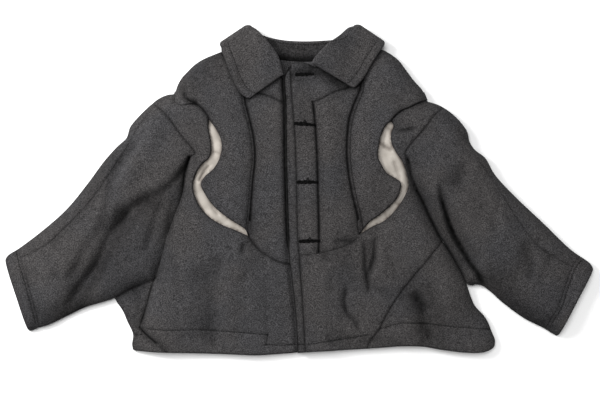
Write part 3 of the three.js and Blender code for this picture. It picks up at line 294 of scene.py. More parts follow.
# Smaller creases, which only the dressed cloth has.
CREASES = [
    (-6, 10, [(26, 238), (45, 228), (70, 213), (96, 200)]),
    (-3.4, 7, [(-16, 220), (-4, 229), (14, 230), (34, 222)]),
    (-6.3, 7.2, [
        (-219, 55), (-240, 22), (-265, -1), (-292, -15), (-332, -38), (-358, -68), (-378, -98),
        (-399, -140), (-420, -172), (-440, -198), (-466, -240),
    ]),
    (-4, 8, [(-269, -19), (-283, -53), (-295, -93), (-309, -139)]),
    (-3, 7, [(-249, -13), (-255, -53), (-263, -103)]),
    (-3.0, 9, [
        (-369, 31), (-379, -23), (-389, -69), (-409, -99), (-425, -123), (-443, -159), (-459, -191),
    ]),
    (3, 10, [(-359, -23), (-375, -87), (-403, -139), (-439, -203)]),
    (4.5, 16, [(-269, 131), (-319, 57), (-349, -3)]),
    (-4, 10, [(-319, 101), (-349, 57), (-375, 7)]),
    (-2.6, 8, [(-435, -141), (-450, -165), (-465, -191)]),
    (-1.6, 8, [(-330, 90), (-318, 60), (-300, 40)]),
    (-1.8, 9, [(-500, -120), (-488, -160), (-480, -200)]),
    (1.8, 10, [(-270, 20), (-300, 5), (-345, -10)]),
    (-9, 6, [
        (275, 17), (282, -15), (289, -43), (305, -89), (325, -123), (341, -151), (361, -183), (374, -200),
    ]),
    (3, 8, [(265, -33), (281, -79), (301, -123)]),
    (4, 14, [(361, 17), (401, -53), (425, -103)]),
    (-5, 9, [(441, -95), (453, -127), (459, -163), (449, -193)]),
    (2.2, 9, [(300, -30), (312, -62), (330, -95), (352, -128)]),
    (-5, 11, [(325, 61), (317, 21), (301, -13)]),
    (-2.2, 8, [(398, 0), (390, -50), (380, -95)]),
    (-2, 9, [(500, -120), (486, -160), (470, -205)]),
    (-4.5, 4, [(189, 116), (198, 114), (207, 113), (222, 116), (239, 119)]),
    (-5, 5, [(-234, 210), (-230, 196), (-226, 184), (-219, 173), (-206, 168), (-192, 157)]),
    (-1.8, 5, [(-108, -103), (-111, -120), (-114, -139)]),
    (-7, 5, [(121, -98), (129, -112), (131, -132), (131, -156), (136, -185), (140, -218)]),
    (-7.5, 5.5, [(150, -84), (151, -110), (149, -135), (142, -160), (134, -184)]),
    (-3.5, 12, [(137, -96), (142, -130), (138, -170)]),
    (2.5, 12, [(160, -100), (165, -150), (152, -190)]),
    (-3.5, 8, [(141, -173), (153, -197), (175, -209), (197, -213)]),
    (-5, 9, [(43, -112), (50, -132), (60, -152)]),
    (-4, 5, [(61, -106), (90, -105), (118, -105)]),
    (-6, 4.5, [(95, -182), (92, -205), (90, -230), (97, -250), (113, -266), (124, -290)]),
    (2, 10, [(75, -190), (70, -240), (85, -275)]),
    (-5, 12, [(221, -197), (237, -225), (261, -250)]),
    (-2.5, 7, [(253, -270), (257, -310)]),
    (3, 14, [(285, -205), (300, -240)]),
    (-1.8, 16, [(-161, -127), (-181, -191), (-177, -311)]),
    (-3.6, 5, [(-108, -104), (-111, -118), (-115, -133)]),
    (-2.4, 9, [(-105, -155), (-109, -191)]),
    (-2.2, 7, [(-173, -295), (-173, -320)]),
    (2.4, 16, [(-135, -150), (-140, -230), (-140, -300)]),
    (2.4, 18, [(-215, -130), (-225, -220), (-225, -300)]),
    (-2.6, 8, [(229, -203), (241, -243), (257, -313)]),
    (-2, 9, [(-155, -123), (-163, -180), (-172, -250), (-175, -320)]),
    (-1.6, 8, [(60, -150), (66, -220), (62, -320)]),
    (-1.6, 9, [(-70, -170), (-64, -240), (-66, -320)]),
    (-1.8, 8, [(-262, -120), (-240, -170), (-228, -240)]),
    (-1.6, 7, [(170, -120), (186, -160), (205, -190)]),
    (-1.4, 7, [(-230, 140), (-205, 120), (-190, 90)]),
    (-1.4, 7, [(232, 138), (214, 112), (204, 84)]),
]

# Creases of the lining that shows in the slits: depth, width, path.
LINING_CREASES = [
    (-3.2, 3.2, [(152, 94), (160, 89), (170, 82), (184, 74)]),
    (-2.2, 3.6, [(186, 56), (190, 44), (194, 31), (200, 16)]),
    (-1.6, 3.4, [(158, 126), (171, 121), (186, 113)]),
    (-1.5, 3.0, [(188, -28), (197, -33), (206, -40)]),
    (-1.4, 3.0, [(168, -46), (172, -54), (176, -62)]),
    (-3.2, 3.4, [(-178, 46), (-187, 35), (-193, 25), (-199, 12)]),
    (-1.6, 3.2, [(-176, 74), (-164, 70), (-152, 66)]),
    (-1.5, 3.2, [(-176, -36), (-168, -44), (-160, -54)]),
]

# Painted shade: bands where the cloth is coloured darker in place of the shading of its folds and overlaps:
# how much, width, path.
SHADE_PATCHES = [
    (0.24, 28, [(-219, 177), (-199, 217), (-169, 253), (-143, 277)]),
    (0.24, 18, [(-479, -103), (-447, -67), (-423, -33), (-399, 7), (-367, 57)]),
    (0.36, 14, [(-299, -31), (-331, -64), (-357, -100), (-383, -144), (-407, -186), (-435, -231)]),
    (0.16, 26, [(-275, -25), (-305, -72), (-340, -118), (-372, -165)]),
    (0.28, 26, [(-519, -247), (-479, -247), (-439, -259)]),
    (0.20, 12, [(-247, 33), (-271, -3), (-283, -31)]),
    (0.22, 16, [(-95, -60), (-94, -100), (-96, -145)]),
    (0.20, 12, [(4, 245), (3, 180), (4, 100)]),
    (0.24, 26, [(161, 17), (145, -33), (113, -73), (97, -123), (101, -173)]),
    (0.24, 14, [(65, -299), (130, -301), (193, -303)]),
    (0.24, 22, [(257, -203), (273, -253), (281, -303)]),
    (0.16, 34, [(233, -193), (245, -250), (245, -313)]),
    (0.30, 12, [(-325, -205), (-315, -262)]),
    (0.40, 26, [(385, -175), (417, -211), (449, -247), (481, -267)]),
    (0.18, 16, [(353, -10), (354, -30), (353, -50)]),
    (0.50, 4, [(276, -16), (290, -50), (299, -79), (315, -109), (337, -147), (361, -177)]),
    (0.16, 12, [(236, 10), (258, -35), (290, -90), (325, -150)]),
    (0.22, 14, [(193, 173), (194, 150), (193, 125)]),
    (0.45, 5, [(-226, 178), (-216, 172), (-205, 167), (-192, 156), (-184, 145), (-180, 134)]),
    (0.34, 7, [(-14, 224), (-4, 232), (14, 232), (32, 226)]),
    (0.30, 5, [(-10, 216), (14, 217), (30, 216)]),
    (0.52, 4.5, [(22, 244), (38, 240), (56, 230), (76, 218), (96, 203)]),
    (0.34, 11, [(24, 236), (44, 226), (68, 212), (94, 197)]),
]

# Creases of the hidden back, which lift it off the surface: height, width, path.
BACK_CREASES = [
    (3.2, 12, [(-150, 60), (-162, -40), (-170, -160), (-160, -300)]),
    (2.6, 10, [(150, 40), (140, -60), (160, -180), (190, -310)]),
    (2.2, 12, [(-60, -80), (-40, -170), (-52, -310)]),
    (2.4, 10, [(60, -60), (66, -150), (50, -300)]),
    (2.0, 9, [(-200, 100), (-140, 90), (-90, 96)]),
    (2.0, 9, [(210, 92), (150, 80), (96, 88)]),
    (2.6, 12, [(-250, -120), (-250, -200), (-290, -290)]),
    (2.6, 12, [(270, -120), (280, -200), (330, -290)]),
]
SLEEVE_BACK_CREASES = [
    (3.0, 12, [(-300, 60), (-360, -30), (-430, -140), (-500, -230)]),
    (2.6, 10, [(-262, 0), (-310, -20), (-350, -60)]),
    (2.4, 9, [(-420, -60), (-436, -120), (-430, -190)]),
    (3.0, 12, [(300, 60), (350, -30), (410, -120), (470, -220)]),
    (2.6, 10, [(262, 10), (300, -50), (330, -110)]),
    (2.4, 9, [(430, -60), (436, -130), (420, -200)]),
]

# ---- Plan lines ------------------------------------------------------------------------------


def plan(*names):
    """The points of one or more lines of the plan run together, without the doubled joints."""
    points = np.vstack([np.array(PLAN[name], float) for name in names])
    keep = np.r_[True, np.hypot(*np.diff(points, axis=0).T) > 0.5]
    return points[keep]


def even(line, step=STEP):
    """The same line with evenly spaced points."""
    run = np.r_[0, np.cumsum(np.linalg.norm(np.diff(line, axis=0), axis=1))]
    count = max(2, int(round(run[-1] / step)) + 1)
    places = np.linspace(0, run[-1], count)
    return np.column_stack([np.interp(places, run, column) for column in line.T])


def smooth(points, step=STEP):
    """A smooth line through points, as a centripetal spline."""
    p = np.asarray(points, float)
    p = np.vstack([2 * p[0] - p[1], p, 2 * p[-1] - p[-2]])
    out = [p[1][None]]
    t = np.linspace(0, 1, 13)[1:, None]
    for i in range(1, len(p) - 2):
        p0, p1, p2, p3 = p[i - 1 : i + 3]
        gaps = (p1 - p0, p2 - p1, p3 - p2)
        d0, d1, d2 = (math.sqrt(max(np.linalg.norm(gap), 1e-6)) for gap in gaps)
        m1 = ((p1 - p0) / d0 - (p2 - p0) / (d0 + d1) + (p2 - p1) / d1) * d1
        m2 = ((p2 - p1) / d1 - (p3 - p1) / (d1 + d2) + (p3 - p2) / d2) * d1
        h = 2 * t**3 - 3 * t**2
        out.append((h + 1) * p1 + (t**3 - 2 * t**2 + t) * m1 - h * p2 + (t**3 - t**2) * m2)
    return even(np.vstack(out), step)


def straight(*pairs):
    return even(np.array(pairs, float))


def nearest(line, x, y):
    """Distance from plan points to a line, the run along it, the side, and the line's length."""
    start, step = line[:-1], np.diff(line, axis=0)
    length = np.hypot(step[:, 0], step[:, 1])
    px, py = x[:, None] - start[:, 0], y[:, None] - start[:, 1]
    t = np.clip((px * step[:, 0] + py * step[:, 1]) / length**2, 0, 1)
    ox, oy = px - t * step[:, 0], py - t * step[:, 1]
    distance = np.hypot(ox, oy)
    k, rows = distance.argmin(1), np.arange(len(x))
    side = np.where(step[k, 0] * oy[rows, k] - step[k, 1] * ox[rows, k] < 0, -1.0, 1.0)
    run = np.r_[0, np.cumsum(length)]
    return distance[rows, k], run[k] + t[rows, k] * length[k], side, run[-1]


def unit(way):
    return way / np.linalg.norm(way)


def normals(line, closed=False):
    """Left-hand unit normals at the points of a line."""
    if closed:
        ahead, behind = np.roll(line, -1, 0) - line, line - np.roll(line, 1, 0)
    else:
        step = np.diff(line, axis=0)
        ahead, behind = np.vstack([step, step[-1:]]), np.vstack([step[:1], step])
    ahead = ahead / np.linalg.norm(ahead, axis=1)[:, None]
    behind = behind / np.linalg.norm(behind, axis=1)[:, None]
    way = ahead + behind
    way = way / np.maximum(np.linalg.norm(way, axis=1), 1e-6)[:, None]
    return np.column_stack([-way[:, 1], way[:, 0]])


def shifted(line, distance):
    """A line moved to its left (or, with a negative distance, right)."""
    return even(line + normals(line) * distance)


def crossing(a, b):
    """Where two lines cross: the run along each in points, and the plan point."""
    r, s = np.diff(a, axis=0)[:, None], np.diff(b, axis=0)[None]
    q = b[None, :-1] - a[:-1, None]
    cross = r[..., 0] * s[..., 1] - r[..., 1] * s[..., 0]
    cross = np.where(np.abs(cross) < 1e-9, 1e-9, cross)
    t = np.clip((q[..., 0] * s[..., 1] - q[..., 1] * s[..., 0]) / cross, 0, 1)
    u = np.clip((q[..., 0] * r[..., 1] - q[..., 1] * r[..., 0]) / cross, 0, 1)
    on_a, on_b = a[:-1, None] + r * t[..., None], b[None, :-1] + s * u[..., None]
    gap = np.hypot(on_a[..., 0] - on_b[..., 0], on_a[..., 1] - on_b[..., 1])
    i, j = np.unravel_index(np.argmin(np.round(gap, 6)), gap.shape)
    return i + t[i, j], j + u[i, j], on_a[i, j]


def outline(text):
    """Points of a closed plan outline, anticlockwise, and the kind of the edge that leaves each.

    The text names each line and its kind. A line runs from the one before to the one after it."""
    parts = [(LINE[name], kind) for name, kind in (part.split() for part in text.split(", "))]
    count = len(parts)
    corners = [crossing(parts[i][0], parts[(i + 1) % count][0]) for i in range(count)]
    points, kinds = [], []
    for i, (line, kind) in enumerate(parts):
        start, end = corners[i - 1][1], corners[i][0]
        inside = [k for k in range(len(line)) if min(start, end) < k < max(start, end)]
        if start > end:
            inside.reverse()
        for n, p in enumerate([corners[i - 1][2], *line[inside]]):
            if points and np.hypot(*(p - points[-1])) < JOINED:
                kinds[-1] = kind
                if n == 0:
                    points[-1] = p
                continue
            points.append(p)
            kinds.append(kind)
    if np.hypot(*(points[0] - points[-1])) < JOINED:
        points.pop()
        kinds.pop()
    points = np.array(points)
    x, y = points.T
    if np.sum(x * np.roll(y, -1) - np.roll(x, -1) * y) < 0:
        points, kinds = points[::-1], kinds[::-1][1:] + kinds[::-1][:1]
    return points, kinds


LINE = {name: smooth(plan(name)) for name in PLAN}
for side in ("right", "left"):
    LINE[f"outer_{side}"] = smooth(plan(f"shoulder_{side}", f"cap_{side}", f"sleeve_outer_{side}"))
    LINE[f"inner_{side}"] = smooth(plan(f"crease_{side}", f"sleeve_inner_{side}"))
LINE["mouth_right"] = straight((-590, -132), (-587, -142), (-541, -283), (-539, -290))
LINE["mouth_left"] = straight((592, -148), (586, -160), (516, -293), (512, -300))
LINE["underlap"] = straight((UNDERLAP, 290), (UNDERLAP, -360))

# ---- The laid surface ------------------------------------------------------------------------


def smoothstep(x, low, high):
    t = np.clip((x - low) / (high - low), 0, 1)
    return t * t * (3 - 2 * t)


def bell(distance, width):
    return np.exp(-((distance / width) ** 2))


def quarter_round(share):
    return np.sqrt(1 - (1 - np.clip(share, 0, 1)) ** 2)


FULL_EDGES = [f"{name}_{side}" for name in ("outer", "sleeve_inner", "side") for side in ("right", "left")]
FRONT_FOLD_LINE = smooth(np.vstack([plan("front_fold"), plan("gore_right")[1:4]]))
SLEEVE_LINE = plan("crease_right", "sleeve_inner_right")


def fullness(x, y, dressed=False):
    """How much of its full height the cloth has, from 0 on a folded edge to 1 well inside."""
    share = np.ones(len(x))
    for name in FULL_EDGES:
        share = np.minimum(share, nearest(LINE[name], x, y)[0] / ROLL_SPAN)
    for name in ("crease_right", "crease_left"):
        distance, along, _, length = nearest(LINE[name], x, y)
        span = ROLL_SPAN * np.minimum(1, (0.13 if dressed else 0.25) + along / CREASE_GROWTH)
        pressed_shut = 0.0
        if dressed and name == "crease_right":
            pressed_shut = 4.0 * smoothstep(along, 12, 45) + 7.0 * smoothstep(along, 60, 130)
            pressed_shut = pressed_shut * (1 - smoothstep(along, length - 60, length - 15))
        share = np.minimum(share, (distance + pressed_shut) / span)
    return quarter_round(share)


def plain_height(x, y):
    out, across, height = np.array(HEIGHTS, float).T
    near = (np.abs(x)[:, None] - out) ** 2 + (y[:, None] - across) ** 2 + 900
    weight = near**-1.5
    return (weight * height).sum(1) / weight.sum(1)


def folds(x, y, rows, run_out=FOLD_RUN_OUT):
    """Sum of soft troughs and ridges, each along its own path."""
    total = np.zeros(len(x))
    for depth, width, path in rows:
        distance, along, _, length = nearest(smooth(path, CREASE_STEP), x, y)
        ends = np.minimum(1, np.minimum(along, length - along) / min(run_out, length / 3))
        uneven = 1 + 0.25 * np.sin(along / 23.0 + depth + width)
        total += depth * uneven * smoothstep(ends, 0, 1) * bell(distance, width)
    return total


def front_fold(x, y):
    """1 on the front's side of its folded edge over the right gore, 0 on the gore's."""
    result = np.ones(len(x))
    use = (x <= -200) & (y <= -150)
    if use.any():
        use[use] = nearest(SLEEVE_LINE, x[use], y[use])[2] > 0
    if use.any():
        distance, along, side, length = nearest(FRONT_FOLD_LINE, x[use], y[use])
        sharp = np.clip(np.minimum((length - along) / 60, along / 30), 0, 1)
        front = np.where(side > 0, quarter_round(distance / FOLD_SPAN), 0)
        result[use] = 1 - sharp * (1 - front)
    return result


# Waves of soft cloth: how fast each rises along x and along y, and its size.
WAVES = [
    (38, 21, 0.30), (-27, 44, 0.35), (61, -12, 0.25), (17, -73, 0.22), (92, 58, 0.14), (-110, 71, 0.12),
    (190, 120, 0.10), (-150, 230, 0.09), (260, -170, 0.07), (90, 310, 0.07),
]


def ripple(x, y):
    """Small unevenness of soft cloth."""
    total = np.zeros(len(x))
    for i, (a, b, size) in enumerate(WAVES):
        bend = 0.8 * np.sin(0.011 * x * (1 + i % 3) - 0.013 * y + i)
        total += size * np.sin((a * x + b * y) / 1000.0 + bend + 1.7 * i)
    return total


def puckers(x, y):
    """The cloth draws up unevenly along the seams that run across its grain."""
    total = np.zeros(len(x))
    for name, size in (("gore_left", 1.3), ("waist_left", 0.9), ("waist_right", 0.5)):
        away, along, _, _ = nearest(LINE[name], x, y)
        wave = np.sin(along / 3.1 + 1.3 * np.sin(along / 17.0)) + 0.6 * np.sin(along / 6.7 + 2.0)
        total += size * wave * bell(away, 6.5)
    return total


def laid_height(x, y, dressed=True):
    """Top of the laid cloth, without the lift of a piece that laps over another."""
    full = plain_height(x, y) + folds(x, y, FOLDS)
    if dressed:
        full = full + folds(x, y, CREASES, CREASE_RUN_OUT) + ripple(x, y) + puckers(x, y)
    full = np.maximum(LOWEST, full)
    top = GORE_HEIGHT + (full - GORE_HEIGHT) * front_fold(x, y)
    return EDGE_RADIUS + (top - EDGE_RADIUS) * fullness(x, y, dressed)


def rest_height(x, y):
    """Underside of the laid jacket, which lies on its own collar at the neck."""
    distance, _, side, _ = nearest(LINE["fall"], x, y)
    return COLLAR_REST * smoothstep(side * distance, -COLLAR_SLOPE["start"], -COLLAR_SLOPE["end"])


def wing_lift(x, y):
    right, left = (nearest(LINE[f"princess_{side}"], x, y)[0] for side in ("right", "left"))
    away = np.where(x < 0, right, left)
    return WING_LIFT * smoothstep(away, 4, 40) * smoothstep(fullness(x, y), 0.2, 0.75)


def placket_lift(x, y):
    return PLACKET_LIFT * (1 - smoothstep(x, PLACKET_FLAT, PLACKET_FLAT + PLACKET_FALL))


def flat_lift(x, y):
    return np.zeros(len(x))


def left_wing_lift(x, y):
    return wing_lift(x, y) + placket_lift(x, y)


def right_lift(x, y):
    """The right front dips beside the placket that laps over it."""
    distance, _, side, _ = nearest(LINE["front_edge"], x, y)
    return np.where(side < 0, -6.5 * bell(distance, 6.5), -3.0)


# ---- Stitching: each row is a name, the piece that it lies on, and its plan line -------------


def part_of(line, low, high):
    """The stretch of a line between two shares of its length."""
    count = len(line) - 1
    return line[int(round(low * count)) : int(round(high * count)) + 1]


STITCH_ROWS = [
    ("wing_right", shifted(LINE["princess_right"], -6.5)),
    ("wing_left", shifted(LINE["princess_left"], 6.5)),
    ("side_front_right", straight((-303, -279), (-270, -281), (-199, -281), (-120, -286), (-63, -291))),
    ("side_front_right", straight((-63, -291), (-67, -311))),
    ("side_front_right", straight((-67, -311), (-30, -312), (-8, -310))),
    ("front_edge_band", straight((-2, -310), (10, -310))),
    ("side_front_left", straight((16, -310), (70, -302), (134, -292))),
    ("gore_left", straight((140, -285), (201, -267), (261, -269), (311, -275), (361, -279), (383, -281))),
    ("gore_right", straight((-326, -292), (-314, -291))),
    ("cuff_right", shifted(part_of(LINE["cuff_right"], 0.12, 0.85), -6.0)),
    ("cuff_left", shifted(part_of(LINE["cuff_left"], 0.15, 0.82), 6.0)),
]

# ---- Panels ----------------------------------------------------------------------------------

# Offsets of the rows of points beside an edge of each kind. "fold" rolls under to the surface,
# "turned" is a turned-in edge, "seam" and the flatter "soft" and "faint" meet a neighbour, "raw" is hidden.
RINGS = {
    "fold": (0.5, 1.4, 2.8, 4.8, 7.4, 10.8, 15.0),
    "turned": (0.4, 1.0, 1.9, 3.0, 4.6),
    "seam": (0.9, 2.0, 3.6, 6.0),
    "soft": (0.9, 2.0, 3.6, 6.0),
    "faint": (0.9, 2.0, 3.6, 6.0),
    "raw": (),
}
# Offsets of the rows of points beside a row of stitches and beside the front edge.
STITCH_GUIDES = (-2.6, 0.0, 2.6)
FRONT_EDGE_GUIDES = (-10.5, -7.5, -5.0, -3.0, -1.3, 1.3, 2.6, 4.0)


def rounding(distance):
    """Drop of the top beside a turned edge, to a quarter circle."""
    near = np.clip(TURN - distance, 0, TURN)
    return TURN - np.sqrt(TURN**2 - near**2)


def ditch(distance):
    """Dip of the top at a seam, with the thick cloth swelling on both sides of it."""
    return 3.6 * bell(distance, 2.3) + 1.9 * bell(distance, 13.0)


DITCH_SHARE = {"seam": 1.0, "soft": 0.6, "faint": 0.35}
STITCH_DIP = (1.7, 1.9)  # depth and width
WORN = (0.5, 6.0)  # distances from an edge over which the wear ends

# Painted shade beside stitches and painted shadow below lapping edges: share and width.
STITCH_SHADE, LAP_SHADOW = (0.38, 1.8), (0.5, 4.0)
# Painted shade in troughs: share for each millimetre of depth, and the most depth that counts.
CREASE_SHADE, FOLD_SHADE = (0.07, 8), (0.018, 14)
# Painted shade beside an edge of each kind: share and width close by, and further out.
EDGE_SHADE = {
    "seam": (0.66, 2.8, 0.30, 12.0),
    "soft": (0.40, 2.3, 0.19, 10.0),
    "faint": (0.22, 2.2, 0.14, 10.0),
    "turned": (0.50, 2.6, 0.14, 9.0),
    "fold": (0.22, 4.0, 0.26, 20.0),
}
COLLAR_EDGE = [smooth(np.array(COLLAR[side], float)[:, 2:]) for side in ("right", "left")]


def beside(line, x, y, size, width):
    """A soft band of this size and width along a line."""
    return size * bell(nearest(line, x, y)[0], width)


def pressed(x, y, by_kind, stitches, flip):
    """Painted shade: how much darker the colour is at edges, seams, stitching, creases and overlaps, where
    shade falls.
    """
    dark = np.zeros(len(x))
    for kind, (sharp, narrow, soft, wide) in EDGE_SHADE.items():
        away = by_kind[kind]
        dark = np.maximum(dark, sharp * bell(away, narrow) + soft * bell(away, wide))
    for line in stitches:
        dark = dark + beside(line, x, y, *STITCH_SHADE)
    if flip:
        return np.clip(dark, 0, 1)
    share, deepest = CREASE_SHADE
    dark = dark + share * np.clip(-folds(x, y, CREASES, CREASE_RUN_OUT), 0, deepest)
    share, deepest = FOLD_SHADE
    dark = dark + share * np.clip(-folds(x, y, FOLDS), 0, deepest)
    # Painted shade deep in the armpits' creases.
    for name, reach in (("crease_right", 100), ("crease_left", 330)):
        away, along, _, _ = nearest(LINE[name], x, y)
        dark = dark + 0.6 * bell(away, 3.2) * (1 - smoothstep(along, 0.4 * reach, reach))
    # Painted shadow in the groove beside the front edge, under the placket that laps over it.
    distance, _, side, _ = nearest(LINE["front_edge"], x, y)
    below = smoothstep(-y, 95, 135)
    past = side * distance - 0.6
    gap = np.where(past < 0, 4.2, 2.4) - 1.2 * below
    dark = dark + (2.2 - 1.6 * below) * bell(past, gap)
    for share, width, path in SHADE_PATCHES:
        dark = dark + beside(smooth(path, CREASE_STEP), x, y, share, width)
    # Painted shadow below the collar's free edges and the left wing's edge.
    for line in (*COLLAR_EDGE, LINE["wing_left"]):
        dark = dark + beside(line, x, y, *LAP_SHADOW)
    # The right wing lies so close to the shoulder here that its edge hardly shows.
    close = np.exp(-(((x + 238) / 20) ** 2) - ((y - 164) / 20) ** 2)
    dark = dark * (1 - 0.75 * close)
    return np.clip(dark, 0, 1)


class Edges:
    """Distances from plan points to the edges of an outline."""

    def __init__(self, points, kinds):
        self.start, self.kinds = points, np.array(kinds)
        self.step = np.roll(points, -1, 0) - points

    def distances(self, p):
        d = p[:, None] - self.start[None]
        t = np.clip((d * self.step).sum(2) / (self.step**2).sum(1), 0, 1)
        return np.linalg.norm(d - t[..., None] * self.step, axis=2)

    def inside(self, p):
        x1, y1 = self.start.T
        x2, y2 = (self.start + self.step).T
        px, py = p[:, 0][:, None], p[:, 1][:, None]
        over = (y1 > py) != (y2 > py)
        where = x1 + (py - y1) * (x2 - x1) / np.where(np.abs(y2 - y1) < 1e-12, 1e-12, y2 - y1)
        return (over & (px < where)).sum(1) % 2 == 1


class Cloth:
    """Points and faces of one piece, how worn each point is, and how much shade is painted on it."""

    def __init__(self):
        self.points, self.faces, self.wear, self.painted_shade = [], [], [], []

    def join(self, points, faces, wear, painted_shade):
        base = len(self.points)
        self.points += [tuple(p) for p in points]
        self.faces += [[base + i for i in face] for face in faces]
        self.wear += list(wear)
        self.painted_shade += list(painted_shade)


def panel(cloth, shape, height, under=None, lift=flat_lift, flip=False, stitches=(), roll=True):
    """One cloth panel over a plan outline, added to a cloth.

    height(x, y) is its top, lift is added to it, and under is the resting height below it. With
    flip the panel faces down, and height is its underside."""
    points, kinds = shape
    edges = Edges(points, kinds)
    inward = normals(points, closed=True)
    kind_of = edges.kinds
    rings = []
    for kind, offsets in RINGS.items():
        rows = np.where(kind_of == kind)[0]
        for offset in offsets:
            ring = points[rows] + inward[rows] * offset
            middle = points[rows] + edges.step[rows] / 2
            way = np.column_stack([-edges.step[rows, 1], edges.step[rows, 0]])
            way = way / np.linalg.norm(way, axis=1)[:, None]
            for some in (ring, middle + way * offset if offset > 2.5 else ring[:0]):
                if len(some):
                    some = some[edges.inside(some)]
                if len(some):
                    some = some[edges.distances(some).min(1) > RING_SHARE * offset]
                rings.append(some)
    low, high = points.min(0), points.max(0)
    xs = np.arange(low[0], high[0], GRID)
    ys = np.arange(low[1], high[1], GRID * 0.866)
    gx, gy = np.meshgrid(xs, ys)
    gx = gx + (np.arange(len(ys)) % 2)[:, None] * GRID / 2
    grid = np.column_stack([gx.ravel(), gy.ravel()])
    grid = grid[edges.inside(grid)]
    reach = np.array([max(RINGS[k], default=0) for k in kinds])
    grid = grid[(edges.distances(grid) - reach).min(1) > GRID_CLEARANCE]
    guides = [(line, STITCH_GUIDES) for line in stitches]
    if not flip:
        guides.append((LINE["front_edge"], FRONT_EDGE_GUIDES))
        for _, width, path in CREASES + LINING_CREASES:
            guides.append((smooth(path, CREASE_STEP), (-width, -width / 2, 0, width / 2, width)))
    for line, offsets in guides:
        rows = np.vstack([even(shifted(line, offset), GUIDE_STEP) for offset in offsets])
        rows = rows[edges.inside(rows)]
        if len(rows):
            rows = rows[edges.distances(rows).min(1) > GUIDE_CLEARANCE]
            grid = grid[nearest(line, *grid.T)[0] > max(offsets) + 2]
            rings.append(rows)
    extra = np.vstack([*[r for r in rings if len(r)], grid])
    _, first = np.unique(np.round(extra / 1.0).astype(int), axis=0, return_index=True)
    extra = extra[np.sort(first)]
    flat = np.vstack([points, extra])
    count = len(points)
    found = delaunay_2d_cdt([Vector(p) for p in flat], [], [list(range(count))], 1, 1e-5)
    plan_points = np.array([tuple(p) for p in found[0]])
    faces = [list(face) for face in found[2]]
    place = {}
    for new, olds in enumerate(found[3]):
        for old in olds:
            place[old] = new
    x, y = plan_points.T
    away = edges.distances(plan_points)
    far = np.full(len(x), 99.0)
    by_kind = {k: (away[:, kind_of == k].min(1) if (kind_of == k).any() else far) for k in RINGS}
    top = height(x, y) + lift(x, y)
    sign = -1.0 if flip else 1.0
    dip = np.max([share * ditch(by_kind[kind]) for kind, share in DITCH_SHARE.items()], axis=0)
    drop = rounding(by_kind["turned"]) + np.where(by_kind["turned"] < 2, 0, dip)
    for line in stitches:
        drop = drop + beside(line, x, y, *STITCH_DIP)
    top = top - sign * drop
    wear = 1 - smoothstep(np.minimum(by_kind["turned"], by_kind["fold"] + 2), *WORN)
    painted_shade = list(pressed(x, y, by_kind, stitches, flip))
    verts = [np.array([a, b, c]) for a, b, c in zip(x, y, top)]
    wear = list(wear)
    if roll:
        for chain in chains(kinds):
            add_roll(verts, faces, wear, chain, points, place, height, lift, under, sign)
    # The rolled-under rows get painted shade, darkest beside the front edge.
    turned_in = np.array(verts[len(painted_shade) :]).reshape(-1, 3)
    beside_gap = nearest(LINE["front_edge"], turned_in[:, 0], turned_in[:, 1])[0]
    painted_shade += list(0.5 + 0.45 * bell(beside_gap, 5.0))
    if flip:
        faces = [face[::-1] for face in faces]
    cloth.join(verts, faces, wear, painted_shade)


def chains(kinds):
    """Runs of edges of one rolled kind, as (kind, first edge, count)."""
    count = len(kinds)
    starts = [i for i in range(count) if kinds[i] != kinds[i - 1]] or [0]
    for i, start in enumerate(starts):
        length = (starts[(i + 1) % len(starts)] - start) % count or count
        if kinds[start] in ("fold", "turned"):
            yield kinds[start], start, length


def add_roll(verts, faces, wear, chain, points, place, height, lift, under, sign):
    """Rows of faces that carry an edge round and under itself."""
    kind, start, length = chain
    count = len(points)
    rows = [(start + i) % count for i in range(length + 1)]
    before = [place[i] for i in rows]
    base = points[rows]
    way = normals(base)
    edge = np.array([verts[i][2] for i in before])
    if kind == "fold":
        rest = under(base[:, 0], base[:, 1]) if under else np.zeros(len(base))
        steps = [
            (EDGE_RADIUS * (1 - math.cos(a)), rest + (edge - rest) * (1 - math.sin(a)))
            for a in np.radians([15, 32, 50, 70, 90])
        ]
        if under:
            steps += [(EDGE_RADIUS + 5, rest), (EDGE_RADIUS + TUCK, rest)]
    else:
        steps = [
            (TURN * (1 - math.cos(a)), edge - sign * TURN * math.sin(a))
            for a in np.radians([22, 45, 67, 90])
        ]
        for inner in (7.0, 12.0, 18.0):
            x, y = (base + way * inner).T
            steps.append((inner, height(x, y) + lift(x, y) - sign * 2 * TURN))
    for inner, z in steps:
        spot = base + way * inner
        new = list(range(len(verts), len(verts) + len(rows)))
        verts += [np.array([p[0], p[1], h]) for p, h in zip(spot, z)]
        wear += [0.4 if inner < 2 else 0.0] * len(rows)
        for i in range(length):
            faces.append([before[i + 1], before[i], new[i], new[i + 1]])
        before = new


# ---- Materials -------------------------------------------------------------------------------


